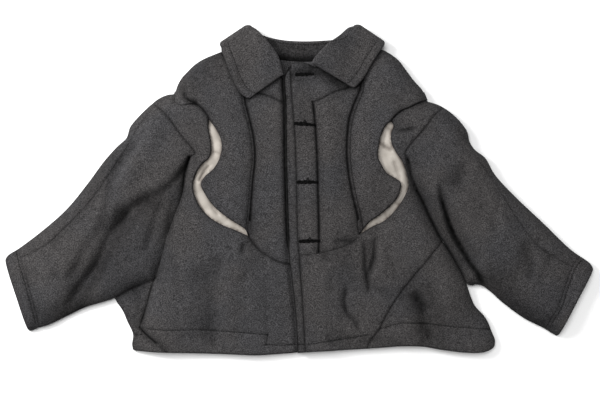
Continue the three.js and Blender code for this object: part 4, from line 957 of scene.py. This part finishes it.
class Nodes:
    """Short calls for building one material's node tree."""

    def __init__(self, name):
        self.material = bpy.data.materials.new(name)
        self.material.use_nodes = True
        self.tree = self.material.node_tree
        self.shader = self.tree.nodes["Principled BSDF"]
        self.place = self.add("ShaderNodeTexCoord").outputs["Object"]

    def add(self, kind, **settings):
        node = self.tree.nodes.new(kind)
        for name, value in settings.items():
            setattr(node, name, value)
        return node

    def link(self, source, target):
        if isinstance(source, (int, float, tuple)):
            target.default_value = source
        else:
            self.tree.links.new(source, target)

    def shade(self, sockets):
        """The material, with these on its shader's sockets."""
        for name, source in sockets.items():
            self.link(source, self.shader.inputs[name])
        return self.material

    def mark(self, name):
        return self.add("ShaderNodeAttribute", attribute_name=name).outputs["Fac"]

    def bands(self, scale, distortion):
        node = self.add("ShaderNodeTexWave", wave_type="BANDS", bands_direction="DIAGONAL")
        node.inputs["Scale"].default_value = scale
        node.inputs["Distortion"].default_value = distortion
        self.link(self.place, node.inputs["Vector"])
        return node.outputs["Fac"]

    def noise(self, scale, detail=2.0, rough=0.5, place=None):
        node = self.add("ShaderNodeTexNoise")
        node.inputs["Scale"].default_value = scale
        node.inputs["Detail"].default_value = detail
        node.inputs["Roughness"].default_value = rough
        self.link(place or self.place, node.inputs["Vector"])
        return node.outputs["Fac"]

    def mapped(self, turn, scale):
        node = self.add("ShaderNodeMapping")
        node.inputs["Rotation"].default_value = turn
        node.inputs["Scale"].default_value = scale
        self.link(self.place, node.inputs["Vector"])
        return node.outputs["Vector"]

    def math(self, operation, a, b=0.0, clamp=False):
        node = self.add("ShaderNodeMath", operation=operation, use_clamp=clamp)
        self.link(a, node.inputs[0])
        self.link(b, node.inputs[1])
        return node.outputs[0]

    def ramp(self, value, low, high, to_low=0.0, to_high=1.0):
        node = self.add("ShaderNodeMapRange", clamp=True, interpolation_type="SMOOTHSTEP")
        names = ("Value", "From Min", "From Max", "To Min", "To Max")
        for name, setting in zip(names, (value, low, high, to_low, to_high)):
            self.link(setting, node.inputs[name])
        return node.outputs["Result"]

    def mix(self, share, a, b, blend="MIX"):
        node = self.add("ShaderNodeMix", data_type="RGBA", blend_type=blend)
        self.link(share, node.inputs[0])
        self.link(a, node.inputs[6])
        self.link(b, node.inputs[7])
        return node.outputs[2]

    def bump(self, height, strength, distance, before=None):
        node = self.add("ShaderNodeBump")
        node.inputs["Strength"].default_value = strength
        node.inputs["Distance"].default_value = distance
        self.link(height, node.inputs["Height"])
        if before:
            self.link(before, node.inputs["Normal"])
        return node.outputs["Normal"]


def grey(value, warm=0.0):
    return (value * (1 + warm), value, value * (1 - warm), 1.0)


def melton(name, level=1.0):
    """Heathered melton: charcoal fibres with pale ones among them, and a short matt nap."""
    n = Nodes(name)
    heather = n.noise(540, 3.0, 0.62)
    fibre = [
        n.noise(1.0, 2.0, 0.6, n.mapped((0.2, 0.1, turn), (230 * k, 800 * k, 500)))
        for turn, k in ((0.5, 1.0), (1.7, 1.2), (2.7, 0.9))
    ]
    strands = n.math("MAXIMUM", n.math("MAXIMUM", fibre[0], fibre[1]), fibre[2])
    mottle = n.noise(105, 3.0, 0.65)
    wide = n.noise(9, 2.0, 0.5)
    dark = n.mix(n.ramp(heather, 0.36, 0.66), grey(0.018 * level), grey(0.075 * level))
    pale = n.math("MULTIPLY", n.ramp(strands, 0.62, 0.76), n.ramp(heather, 0.42, 0.64))
    cloth = n.mix(n.math("MULTIPLY", pale, 0.55), dark, grey(0.165 * level))
    shade = n.math("ADD", n.ramp(mottle, 0.3, 0.7, 0.88, 1.10), n.ramp(wide, 0.3, 0.7, -0.06, 0.06))
    tint = n.add("ShaderNodeCombineColor")
    n.link(n.math("MULTIPLY", shade, n.ramp(wide, 0.35, 0.65, 1.02, 1.06)), tint.inputs[0])
    n.link(shade, tint.inputs[1])
    n.link(n.math("MULTIPLY", shade, n.ramp(wide, 0.35, 0.65, 1.05, 1.0)), tint.inputs[2])
    cloth = n.mix(1.0, cloth, tint.outputs[0], "MULTIPLY")
    rub = n.math("MULTIPLY", n.mark("wear"), n.ramp(n.noise(60, 3.0), 0.35, 0.7, 0.0, 0.35))
    cloth = n.mix(rub, cloth, grey(0.075 * level, 0.02))
    # Painted shade: the colour goes nearly black where the painted-shade attribute is high.
    painted_shade_share = n.math("MULTIPLY", n.mark("painted_shade"), n.ramp(mottle, 0.25, 0.75, 1.08, 0.88), clamp=True)
    cloth = n.mix(painted_shade_share, cloth, grey(0.002 * level))
    curls = n.bump(heather, 0.8, 0.0012)
    nap = n.bump(strands, 0.55, 0.0010, curls)
    return n.shade({
        "Base Color": cloth,
        "Roughness": n.ramp(heather, 0.3, 0.7, 0.98, 0.86),
        "Sheen Weight": 0.025,
        "Sheen Roughness": 0.6,
        "Specular IOR Level": 0.035,
        "Normal": n.bump(n.noise(2100, 1.0), 0.35, 0.0004, nap),
    })


def lining_cloth():
    """Smooth cream lining: a fine close weave with a faint sheen."""
    n = Nodes("lining_cloth")
    tone = n.noise(22, 3.0, 0.5)
    warp = n.bands(520, 1.2)
    base = n.mix(n.ramp(tone, 0.3, 0.7), (0.335, 0.306, 0.27, 1), (0.41, 0.374, 0.33, 1))
    base = n.mix(n.math("MULTIPLY", warp, 0.12), base, (0.31, 0.28, 0.245, 1))
    # Painted shade, dark brown, where the attribute asks for it.
    base = n.mix(n.mark("painted_shade"), base, (0.07, 0.05, 0.04, 1))
    fine = n.bump(warp, 0.25, 0.0002)
    return n.shade({
        "Base Color": base,
        "Roughness": n.ramp(tone, 0.3, 0.7, 0.5, 0.66),
        "Sheen Weight": 0.2,
        "Normal": n.bump(n.noise(60, 3.0), 0.3, 0.0012, fine),
    })


def thread(name, level):
    """Twisted sewing thread."""
    n = Nodes(name)
    return n.shade({
        "Base Color": n.mix(n.ramp(n.noise(500, 2.0), 0.35, 0.7), grey(level), grey(level * 2.3)),
        "Roughness": n.ramp(n.noise(300), 0.3, 0.7, 0.6, 0.85),
        "Specular IOR Level": 0.06,
        "Normal": n.bump(n.bands(900, 2.0), 0.5, 0.0003),
    })


def resin():
    """Dark horn-like resin of the buttons."""
    n = Nodes("button_resin")
    swirl = n.noise(120, 4.0, 0.6, n.mapped((0, 0, 0.4), (1, 2.4, 1)))
    return n.shade({
        "Base Color": n.mix(n.ramp(swirl, 0.4, 0.65), grey(0.008), grey(0.03, 0.15)),
        "Roughness": n.ramp(swirl, 0.3, 0.7, 0.3, 0.5),
        "Normal": n.bump(n.noise(700, 2.0), 0.15, 0.0003),
    })


def studio_floor():
    n = Nodes("studio_floor")
    tone = n.ramp(n.noise(3.0, 2.0), 0.3, 0.7, 0.94, 0.965)
    colour = n.add("ShaderNodeCombineColor")
    for i in range(3):
        n.link(tone, colour.inputs[i])
    return n.shade({
        "Base Color": colour.outputs[0],
        "Roughness": n.ramp(n.noise(40.0), 0.3, 0.7, 0.85, 0.95),
    })


MATERIAL = {
    "wool": melton("wool_melton", 0.98),
    # The collar's copy of the melton is painted darker: painted shade against the light that falls on it.
    "collar_wool": melton("collar_melton_shaded", 0.91),
    "lining": lining_cloth(),
    "button": resin(),
}
THREAD = thread("thread_dark", 0.006)
BUTTONHOLE_THREAD = thread("thread_black", 0.0015)

# ---- Making the pieces -----------------------------------------------------------------------

made = {}


def placed(name, data):
    """A new object in the scene."""
    thing = bpy.data.objects.new(name, data)
    bpy.context.scene.collection.objects.link(thing)
    return thing


def mesh_object(name, points, faces, material, **marks):
    """A smooth mesh object from plan millimetres."""
    mesh = bpy.data.meshes.new(name)
    moved = (np.array(points) - np.array([CENTRE["x"], CENTRE["y"], 0])) / 1000
    mesh.from_pydata(moved.tolist(), [], faces)
    mesh.polygons.foreach_set("use_smooth", [True] * len(mesh.polygons))
    for mark, values in marks.items():
        layer = mesh.attributes.new(mark, "FLOAT", "POINT")
        layer.data.foreach_set("value", np.array(values, np.float32))
    mesh.materials.append(material)
    mesh.validate()
    return placed(name, mesh)


def add_piece(node, cloth, slot="wool", wall=WOOL):
    """The cloth of one cut piece, with its wall, in place of its CAD node."""
    marks = {"wear": cloth.wear, "painted_shade": cloth.painted_shade}
    piece = mesh_object(f"cloth_{node}", cloth.points, cloth.faces, MATERIAL[slot], **marks)
    solid = piece.modifiers.new("wall", "SOLIDIFY")
    solid.thickness = wall / 1000
    solid.offset = -1
    thick = bpy.data.meshes.new_from_object(piece.evaluated_get(bpy.context.evaluated_depsgraph_get()))
    piece.modifiers.clear()
    places = np.zeros(3 * len(thick.vertices), np.float32)
    thick.vertices.foreach_get("co", places)
    places[2::3] = np.maximum(places[2::3], 0)  # nothing sinks into what the jacket lies on
    thick.vertices.foreach_set("co", places)
    piece.data = thick
    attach(piece, "root")
    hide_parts(node)
    made[node] = piece
    return piece


def rows_on(node):
    return [line for name, line in STITCH_ROWS if name == node]


# The cut pieces of the fronts: what lifts each, then its edges in order, with the kind of each.
FRONTS = {
    "yoke_right": (right_lift, "neck_right raw, princess_right seam, yoke_right soft, underlap raw"),
    "centre_front_right": (
        right_lift, "yoke_right soft, princess_right seam, waist_right soft, underlap raw"
    ),
    "wing_right": (
        wing_lift,
        "neck_right raw, princess_right seam, slit_inner_right turned, wing_right turned, outer_right fold",
    ),
    "side_front_right": (
        right_lift,
        "wing_right raw, slit_outer_right turned, waist_right soft, underlap raw, hem turned, "
        "gore_right seam, front_fold soft, inner_right fold, armhole_right soft, outer_right fold",
    ),
    "gore_right": (
        flat_lift, "gore_right seam, hem turned, side_right fold, inner_right fold, front_fold soft"
    ),
    "front_edge_band": (placket_lift, "neck_left turned, band soft, hem turned, front_edge turned"),
    "placket": (
        placket_lift,
        "neck_left turned, princess_left seam, yoke_left soft, placket seam, waist_left faint, band soft",
    ),
    "centre_front_left": (
        placket_lift, "yoke_left soft, princess_left seam, waist_left faint, placket seam"
    ),
    "wing_left": (
        left_wing_lift,
        "neck_left raw, outer_left fold, wing_left turned, slit_inner_left turned, princess_left seam",
    ),
    "side_front_left": (
        placket_lift,
        "wing_left raw, slit_outer_left turned, waist_left faint, band soft, hem turned, "
        "gore_left soft, inner_left fold, armhole_left soft, outer_left fold",
    ),
    "gore_left": (flat_lift, "gore_left soft, hem turned, side_left fold, crease_left fold"),
}


def make_fronts():
    for node, (lift, edges) in FRONTS.items():
        cloth = Cloth()
        panel(cloth, outline(edges), laid_height, rest_height, lift, stitches=rows_on(node))
        add_piece(node, cloth)


def creased(x, y, rows):
    """Height that creases of the hidden cloth add to its underside."""
    return np.maximum(0, folds(x, y, rows, BACK_RUN_OUT) + 0.35 * ripple(x, y))


def back_underside(x, y):
    return rest_height(x, y) + creased(x, y, BACK_CREASES)


def sleeve_underside(x, y):
    return creased(x, y, SLEEVE_BACK_CREASES)


def make_back():
    # The back ends just inside the turned-under edges of the pieces above it.
    tucked = EDGE_RADIUS + TUCK + 0.5
    for name in ("side_left", "crease_left", "outer_left"):
        LINE[f"back_{name}"] = shifted(LINE[name], -tucked)
    for name in ("outer_right", "inner_right", "side_right"):
        LINE[f"back_{name}"] = shifted(LINE[name], tucked)
    neck = []
    for share in np.linspace(1, 0, 25):
        roll, _, way, stand = back_line(share)
        neck.append(roll + way * (stand + 0.3))
    LINE["back_neck"] = even(np.array(neck))
    shape = outline(
        "hem turned, back_side_left seam, back_crease_left seam, armhole_left seam, back_outer_left seam, "
        "back_neck raw, back_outer_right seam, armhole_right seam, back_inner_right seam, "
        "back_side_right seam"
    )
    cloth = Cloth()
    panel(cloth, shape, back_underside, flip=True)
    add_piece("back", cloth)


def make_sleeve(side):
    way = 1 if side == "right" else -1
    LINE[f"below_inner_{side}"] = shifted(LINE[f"inner_{side}"], way * -EDGE_RADIUS)
    LINE[f"below_outer_{side}"] = shifted(LINE[f"outer_{side}"], way * EDGE_RADIUS)
    upper = "armhole_{0} soft, inner_{0} fold, cuff_{0} faint, hind_{0} faint"
    under = "hind_{0} faint, cuff_{0} faint, outer_{0} fold"
    if side == "left":
        upper += ", outer_{0} fold"  # the hind-arm seam starts on the folded edge
    else:
        under += ", armhole_{0} soft"
    under_below = "armhole_{0} soft, below_inner_{0} raw, cuff_{0} faint, below_outer_{0} raw"
    cuff = "cuff_{0} faint, inner_{0} fold, mouth_{0} turned, outer_{0} fold"
    cuff_below = "cuff_{0} faint, below_inner_{0} raw, mouth_{0} turned, below_outer_{0} raw"
    pieces = (
        ("upper_sleeve", upper, None), ("under_sleeve", under, under_below), ("cuff", cuff, cuff_below)
    )
    for name, above, below in pieces:
        node = f"{name}_{side}"
        cloth = Cloth()
        panel(cloth, outline(above.format(side)), laid_height, stitches=rows_on(node))
        if below:
            panel(cloth, outline(below.format(side)), sleeve_underside, flip=True)
        add_piece(node, cloth)


def slit_height(x, y):
    """The lining sags a little behind the wool, in a few soft folds along the slit."""
    lift = np.where(x > 0, placket_lift(x, y), 0)
    along = 2.4 * np.abs(np.sin(0.11 * x + 0.035 * y + 0.6))
    along = along + 1.8 * np.abs(np.sin(0.04 * x - 0.075 * y + 1.0))
    sag = along + folds(x, y, LINING_CREASES, LINING_RUN_OUT)
    return laid_height(x, y) + lift - WOOL - LINING_DROP + sag


def make_linings():
    for side in ("right", "left"):
        outer, inner = LINE[f"slit_outer_{side}"], LINE[f"slit_inner_{side}"]
        margin = LINING_MARGIN if side == "right" else -LINING_MARGIN
        ring = np.vstack([shifted(outer, -margin), shifted(inner, margin)[::-1]])
        cloth = Cloth()
        x, y = ring.T
        if np.sum(x * np.roll(y, -1) - np.roll(x, -1) * y) < 0:
            ring = ring[::-1]
        panel(cloth, (ring, ["raw"] * len(ring)), slit_height)
        x, y = np.array(cloth.points).T[:2]
        away = np.minimum(nearest(outer, x, y)[0], nearest(inner, x, y)[0])
        in_creases = np.clip(-folds(x, y, LINING_CREASES, LINING_RUN_OUT), 0, 4)
        # Painted shade along the slit's edges and in the lining's creases.
        cloth.painted_shade = 0.75 * bell(away, 2.0) + 0.2 * bell(away, 6.0) + 0.15 * in_creases
        add_piece(f"lining_{side}", cloth, "lining", LINING_WALL)


# ---- Collar ----------------------------------------------------------------------------------


def point_along(line, share):
    index = share * (len(line) - 1)
    before = min(int(index), len(line) - 2)
    return line[before] + (line[before + 1] - line[before]) * (index - before)


def mix(a, b, share):
    return a + (b - a) * share


def back_line(share):
    """Plan line of the collar's section across the back neck: roll, length, way, depth of stand."""
    roll, edge = point_along(LINE["back_roll"], share), point_along(LINE["fall"], share)
    length = np.linalg.norm(edge - roll)
    from_side = min(1, 4 * min(share, 1 - share))
    return roll, length, (edge - roll) / length, mix(STAND["side"], BACK_STAND, from_side)


def front_height(x, y):
    """Top of the fronts, or 0 beside the shoulder."""
    right = x < 0
    on_right, on_left = (nearest(LINE[f"shoulder_{side}"], x, y)[2] for side in ("right", "left"))
    side = np.where(right, on_right, -on_left)
    height = laid_height(x, y, False) + wing_lift(x, y) + np.where(right, 0, placket_lift(x, y))
    return np.where(side > 0, height, 0)


def under_collar(x, y):
    """Highest top of the fronts near each plan point."""
    d = COLLAR_SPREAD
    around = ((0, 0), (-d, 0), (d, 0), (0, -d), (0, d))
    return np.max([front_height(x + a, y + b) for a, b in around], axis=0)


def corner(run, radius):
    """How far a rounded corner pulls the free edge in, this far along from the corner."""
    near = max(0.0, radius - run)
    return radius - math.sqrt(radius**2 - near**2)


# Places of the points in a section of the collar: over the fall, round the roll, down the stand.
FALL_SHARES = np.r_[0, 0.004, 0.01, 0.02, 0.034, 0.055, np.linspace(0.085, 1, 24)]
TURNS = np.linspace(0, math.pi, 11)[1:-1]
STANDS = np.linspace(0, 1, 8)


def section(roll, way, fall, roll_z, stand, stand_z):
    """Points of a section from the free edge of the fall, round the roll, to the foot of the stand."""
    turned = COLLAR_ROLL * (1 - np.sin(TURNS))
    down = mix(COLLAR_ROLL, stand, STANDS)
    parts = (fall, (turned, roll_z), (down, stand_z))
    return np.vstack([np.column_stack([roll + way * s[:, None], z]) for s, z in parts])


def leaf_section(row, along, side, run):
    """Collar over the front: from the free edge up to the roll line, round it, back to the neck."""
    roll, edge = row[:2], row[2:]
    length = np.linalg.norm(edge - roll)
    way = (edge - roll) / length
    length -= corner(run, CORNER["front"])
    end = mix(COLLAR_TOP["front"], COLLAR_TOP["side"], along)
    level = end + (PLACKET_LIFT * (1 - along) if side == "left" else 0)
    s = mix(length, COLLAR_ROLL, FALL_SHARES)
    spots = roll + way * s[:, None]
    resting = under_collar(spots[:, 0], spots[:, 1]) + COLLAR_CLEARANCE + COLLAR_WALL
    drop = COLLAR_TOP["edge_drop"] * s / length * along
    z = np.maximum(level - drop, resting)
    top = z[-1]
    stand = mix(STAND["front"], STAND["side"], along)
    below = np.full(len(STANDS), top - 2 * COLLAR_ROLL)
    return section(roll, way, (s, z), top - COLLAR_ROLL * (1 - np.cos(TURNS)), stand, below)


def back_section(share):
    """Collar across the back neck: the fall lies on the surface, the stand above it."""
    roll, length, way, stand = back_line(share)
    s = mix(length, COLLAR_ROLL, FALL_SHARES)
    above = mix(2 * COLLAR_ROLL, COLLAR_REST + COLLAR_WALL, STANDS)
    return section(roll, way, (s, np.zeros(len(s))), COLLAR_ROLL * (1 - np.cos(TURNS)), stand, above)


def side_turn(leaf, back, outward):
    """The turn at the side of the neck, from over the front to below the back."""
    sections = []
    for angle in np.linspace(0, math.pi, 15)[1:-1]:
        share = (1 - math.cos(angle)) / 2
        bulge = math.sin(angle) * (leaf[:, 2] - back[:, 2]) / 2
        moved = mix(leaf, back, share)
        moved[:, :2] += bulge[:, None] * np.array(outward)
        # Both ends of the section draw in, so that the corner and the peak are round in plan.
        roll = len(FALL_SHARES) + len(TURNS) // 2
        way = moved[0, :2] - moved[roll, :2]
        length = np.linalg.norm(way)
        way /= length
        out = np.abs(bulge).max() * (1 / max(math.sin(angle), 1e-6) - 1)
        from_peak, from_edge = corner(out, CORNER["peak"]), corner(out, CORNER["side"])
        s = (moved[:, :2] - moved[roll, :2]) @ way
        shift = from_peak + s * (length - from_peak - from_edge) / length - s
        moved[:, :2] += shift[:, None] * way
        sections.append(moved)
    return sections


def leaf_sections(side):
    line = smooth(np.array(COLLAR[side], float), 5.0)
    start = [mix(line[0], line[1], share) for share in (0.12, 0.3, 0.6)]
    line = np.vstack([line[:1], *start, line[1:]])
    run = np.r_[0, np.cumsum(np.linalg.norm(np.diff(line, axis=0), axis=1))]
    edge = np.r_[0, np.cumsum(np.linalg.norm(np.diff(line[:, 2:], axis=0), axis=1))]
    return [leaf_section(row, r / run[-1], side, e) for row, r, e in zip(line, run, edge)]


def blurred(values, times):
    """Heights smoothed over a grid, its edges kept."""
    for _ in range(times):
        grown = np.pad(values, 1, mode="edge")
        total = grown[:-2, 1:-1] + grown[2:, 1:-1] + grown[1:-1, :-2] + grown[1:-1, 2:]
        values = (total + 2 * values) / 6
    return values


def make_collar():
    right = leaf_sections("right")
    left = leaf_sections("left")[::-1]
    back = [back_section(share) for share in np.linspace(0, 1, 28)]
    grid = np.array(
        [
            *right,
            *side_turn(right[-1], back[0], (-0.62, 0.78)),
            *back,
            *side_turn(left[0], back[-1], (0.62, 0.78))[::-1],
            *left,
        ]
    )
    fall = len(FALL_SHARES)
    rows, columns = grid.shape[:2]
    for part in (slice(0, len(right)), slice(rows - len(left), rows)):
        z = grid[part, :fall, 2]
        grid[part, :fall, 2] = z + (blurred(z, 6) - z) * np.minimum(1, np.arange(fall) / 6)[None]
    # Along the free edge and the two front ends the plies turn over, and stitching holds them.
    from_edge = np.linalg.norm(grid[:, :, :2] - grid[:, :1, :2], axis=2)
    plan_grid = grid[:, :, :2]
    from_start, from_end = (np.linalg.norm(plan_grid - plan_grid[i], axis=2) for i in (0, -1))
    free = np.minimum(from_edge, np.minimum(from_start, from_end))
    top = np.zeros((rows, columns), bool)
    top[:, :fall] = True
    over = np.zeros(rows)
    over[: len(right)] = over[rows - len(left) :] = 1
    drop = rounding(free * TURN / 3.0)
    drop += 1.5 * bell(from_edge - COLLAR_STITCH, 2.4)
    drop -= 0.9 * bell(free - 8.0, 5.0)
    grid[:, :, 2] -= np.where(top, drop, 0) * over[:, None]
    cloth = Cloth()
    faces = [
        [j * columns + i, j * columns + i + 1, (j + 1) * columns + i + 1, (j + 1) * columns + i]
        for j in range(rows - 1)
        for i in range(columns - 1)
    ]
    wear = (1 - smoothstep(free, *WORN)) * top
    sewn = bell(from_edge - COLLAR_STITCH, 2.4)
    # Painted shade along the stitching and the free edge, and painted shadow down the stand into the neck.
    painted_shade = (0.26 * sewn + 0.35 * bell(free, 2.5) + 0.12 * bell(free, 9.0)) * top
    painted_shade[:, fall + len(TURNS) :] = 0.42 + 0.55 * smoothstep(STANDS, 0.45, 0.95)
    cloth.join(grid.reshape(-1, 3), faces, wear.ravel(), painted_shade.ravel())
    piece = add_piece("collar", cloth, "collar_wool", COLLAR_WALL)
    return piece, grid, len(right), len(left)


# ---- Thread ----------------------------------------------------------------------------------


RAY_START = 0.2  # well above the jacket, in metres


def surface_of(piece):
    return BVHTree.FromObject(piece, bpy.context.evaluated_depsgraph_get())


def on_surface(tree, x, y):
    """The highest point of a piece over a plan point, in plan millimetres, and its normal."""
    start = Vector(((x - CENTRE["x"]) / 1000, (y - CENTRE["y"]) / 1000, RAY_START))
    point, normal, _, _ = tree.ray_cast(start, Vector((0, 0, -1)))
    if point is None:
        return None
    return np.array([x, y, point.z * 1000]), np.array(normal)


def strand(points, faces, middle, way, normal, length, radius, sides=6, rise=0.25):
    """One stitch: a short rounded strand, sunk at both ends."""
    base = len(points)
    across = unit(np.cross(normal, way))
    # Place along the strand, share of its radius, and lift.
    rings = ((-0.5, 0.35, -0.9), (-0.3, 0.95, 0.0), (0.0, 1.0, rise), (0.3, 0.95, 0.0), (0.5, 0.35, -0.9))
    for place, size, lift in rings:
        centre = middle + way * (length * place) + normal * (radius * lift)
        for k in range(sides):
            a = 2 * math.pi * k / sides
            points.append(centre + (across * math.cos(a) + normal * math.sin(a)) * radius * size)
    for ring in range(len(rings) - 1):
        for k in range(sides):
            a, b = base + ring * sides + k, base + ring * sides + (k + 1) % sides
            faces.append([a, b, b + sides, a + sides])
    faces.append([base + k for k in range(sides)][::-1])
    faces.append([base + (len(rings) - 1) * sides + k for k in range(sides)])


def stitch_along(tree, line, points, faces, pitch=5.0, length=3.6, radius=0.7):
    fine = even(line, pitch)
    for a, b in zip(fine[:-1], fine[1:]):
        middle = (a + b) / 2
        found = on_surface(tree, *middle)
        ahead = on_surface(tree, *(middle + (b - a) * 0.3))
        if found is None or ahead is None:
            continue
        way = unit(ahead[0] - found[0])
        if abs(way[2]) > 0.8:
            continue
        normal = unit(found[1] - way * np.dot(found[1], way))
        strand(points, faces, found[0] + normal * 0.12, way, normal, length, radius)


def thread_piece(name, points, faces, material):
    piece = mesh_object(name, points, faces, material)
    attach(piece, "root")


def make_stitching():
    trees = {}
    threads = {}
    for node, line in STITCH_ROWS:
        if node not in trees:
            trees[node] = surface_of(made[node])
            threads[node] = ([], [])
        stitch_along(trees[node], line, *threads[node])
    for node, (points, faces) in threads.items():
        if points:
            thread_piece(f"topstitch_{node}", points, faces, THREAD)


def make_collar_stitching(collar, grid, right, left):
    tree = surface_of(collar)
    points, faces = [], []
    for part in (grid[:right], grid[len(grid) - left :]):
        line = []
        for spots in part[:, :, :2]:
            line.append(spots[0] + unit(spots[8] - spots[0]) * COLLAR_STITCH)
        stitch_along(tree, np.array(line), points, faces)
    across_back = [back_line(share) for share in np.linspace(0.06, 0.94, 30)]
    ring = np.array([roll + way * 7 for roll, _, way, _ in across_back])
    stitch_along(tree, ring, points, faces)
    thread_piece("topstitch_collar", points, faces, THREAD)


WHIP_PITCH = 1.6  # spacing of the whipped stitches round a buttonhole
RUN_PITCH = 3.0  # spacing of the stitches along its middle


def make_buttonholes():
    """Worked buttonholes: close whipped stitches round a slit, with a bar at each end."""
    trees = [surface_of(made[node]) for node in ("placket", "front_edge_band", "centre_front_left")]
    points, faces = [], []

    def place(spot):
        found = [on_surface(tree, *spot) for tree in trees]
        return max((hit for hit in found if hit is not None), key=lambda hit: hit[0][2])

    def lay(spot, direction, length, radius, above):
        middle, normal = place(spot)
        direction = np.array([*direction, 0.0])
        direction = unit(direction - normal * np.dot(direction, normal))
        strand(points, faces, middle + normal * above, direction, normal, length, radius, rise=0.45)

    for number, (a, b) in enumerate(np.array(BUTTONHOLES, float)):
        way = unit(b - a)
        across = np.array([-way[1], way[0]])
        length = np.linalg.norm(b - a)
        count = int(length / WHIP_PITCH)
        for side in (-1, 1):
            for i in range(count + 1):
                share = i / count
                lens = math.sqrt(max(0.0, 1 - (2 * share - 1) ** 2)) * (1.35 - 1.0 * share)
                jitter = math.sin(5.1 * i + 2.3 * side + number) * 0.5 + 0.3 * math.sin(11.7 * i + number)
                spot = a + way * (length * share + 0.4 * jitter)
                spot = spot + across * side * (0.9 + 1.5 * lens + 0.4 * jitter)
                lay(spot, across * side + way * 0.35 * jitter, 3.6 + 1.2 * jitter, 0.78, 0.45)
        for i in range(int(length / RUN_PITCH)):
            lay(a + way * (2.5 + RUN_PITCH * i), way, 4.2, 0.9, -0.1)
        for end, size in ((a, 1.1), (b, 0.9)):
            for k in (-1, 0, 1):
                lay(end + way * k * 1.2, across, 6.2 * size + k, 0.9, 0.7)
        if number:
            # A tack of the same thread over the middle, like an arrowhead.
            foot = (a + b) / 2 + across * 2.0
            for k in range(-2, 3):
                tip = foot + across * (9.0 - 1.8 * abs(k)) + way * 0.6 * k
                base = foot + way * 2.2 * k
                lay((tip + base) / 2, tip - base, np.linalg.norm(tip - base), 0.45, 0.1)
    thread_piece("buttonhole_thread", points, faces, BUTTONHOLE_THREAD)


# ---- Stage -----------------------------------------------------------------------------------

CAMERA = {"place": (0.0015, -0.0405, 3.0), "lens": 90.0}  # in metres and millimetres
FLOOR_SIZE = 6.0


def make_stage():
    mesh = bpy.data.meshes.new("studio_floor")
    size = FLOOR_SIZE
    corners = [(-size, -size, 0), (size, -size, 0), (size, size, 0), (-size, size, 0)]
    mesh.from_pydata(corners, [], [[0, 1, 2, 3]])
    mesh.materials.append(studio_floor())
    floor = placed("studio_floor", mesh)
    floor.location.z = -0.0004

    world = bpy.data.worlds.new("studio")
    bpy.context.scene.world = world
    world.use_nodes = True
    world.node_tree.nodes["Background"].inputs["Color"].default_value = (1, 1, 1, 1)
    world.node_tree.nodes["Background"].inputs["Strength"].default_value = 0.34
    overhead = bpy.data.lights.new("overhead", "SUN")
    overhead.energy = 2.0
    overhead.angle = math.radians(36)
    lamp = placed("overhead", overhead)
    lamp.rotation_euler = (-Vector((-0.2, 0.3, 1.0))).to_track_quat("-Z", "Y").to_euler()
    softbox = bpy.data.lights.new("softbox_left", "AREA")
    softbox.shape = "DISK"
    softbox.size = 0.7
    softbox.energy = 36.0
    lamp = placed("softbox_left", softbox)
    lamp.location = (-1.35, 0.75, 1.25)
    lamp.rotation_euler = (-lamp.location).to_track_quat("-Z", "Y").to_euler()

    bpy.context.scene.view_settings.view_transform = "Standard"
    camera = bpy.data.cameras.new("camera")
    camera.sensor_width = 36.0
    camera.lens = CAMERA["lens"]
    camera.clip_end = 50.0
    eye = placed("camera", camera)
    eye.location = CAMERA["place"]
    bpy.context.scene.camera = eye


make_stage()
make_fronts()
make_back()
make_sleeve("right")
make_sleeve("left")
make_linings()
make_collar_stitching(*make_collar())
make_stitching()
make_buttonholes()
for number in range(1, 5):
    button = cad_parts[f"button_{number}"]
    button.data.materials.clear()
    button.data.materials.append(MATERIAL["button"])
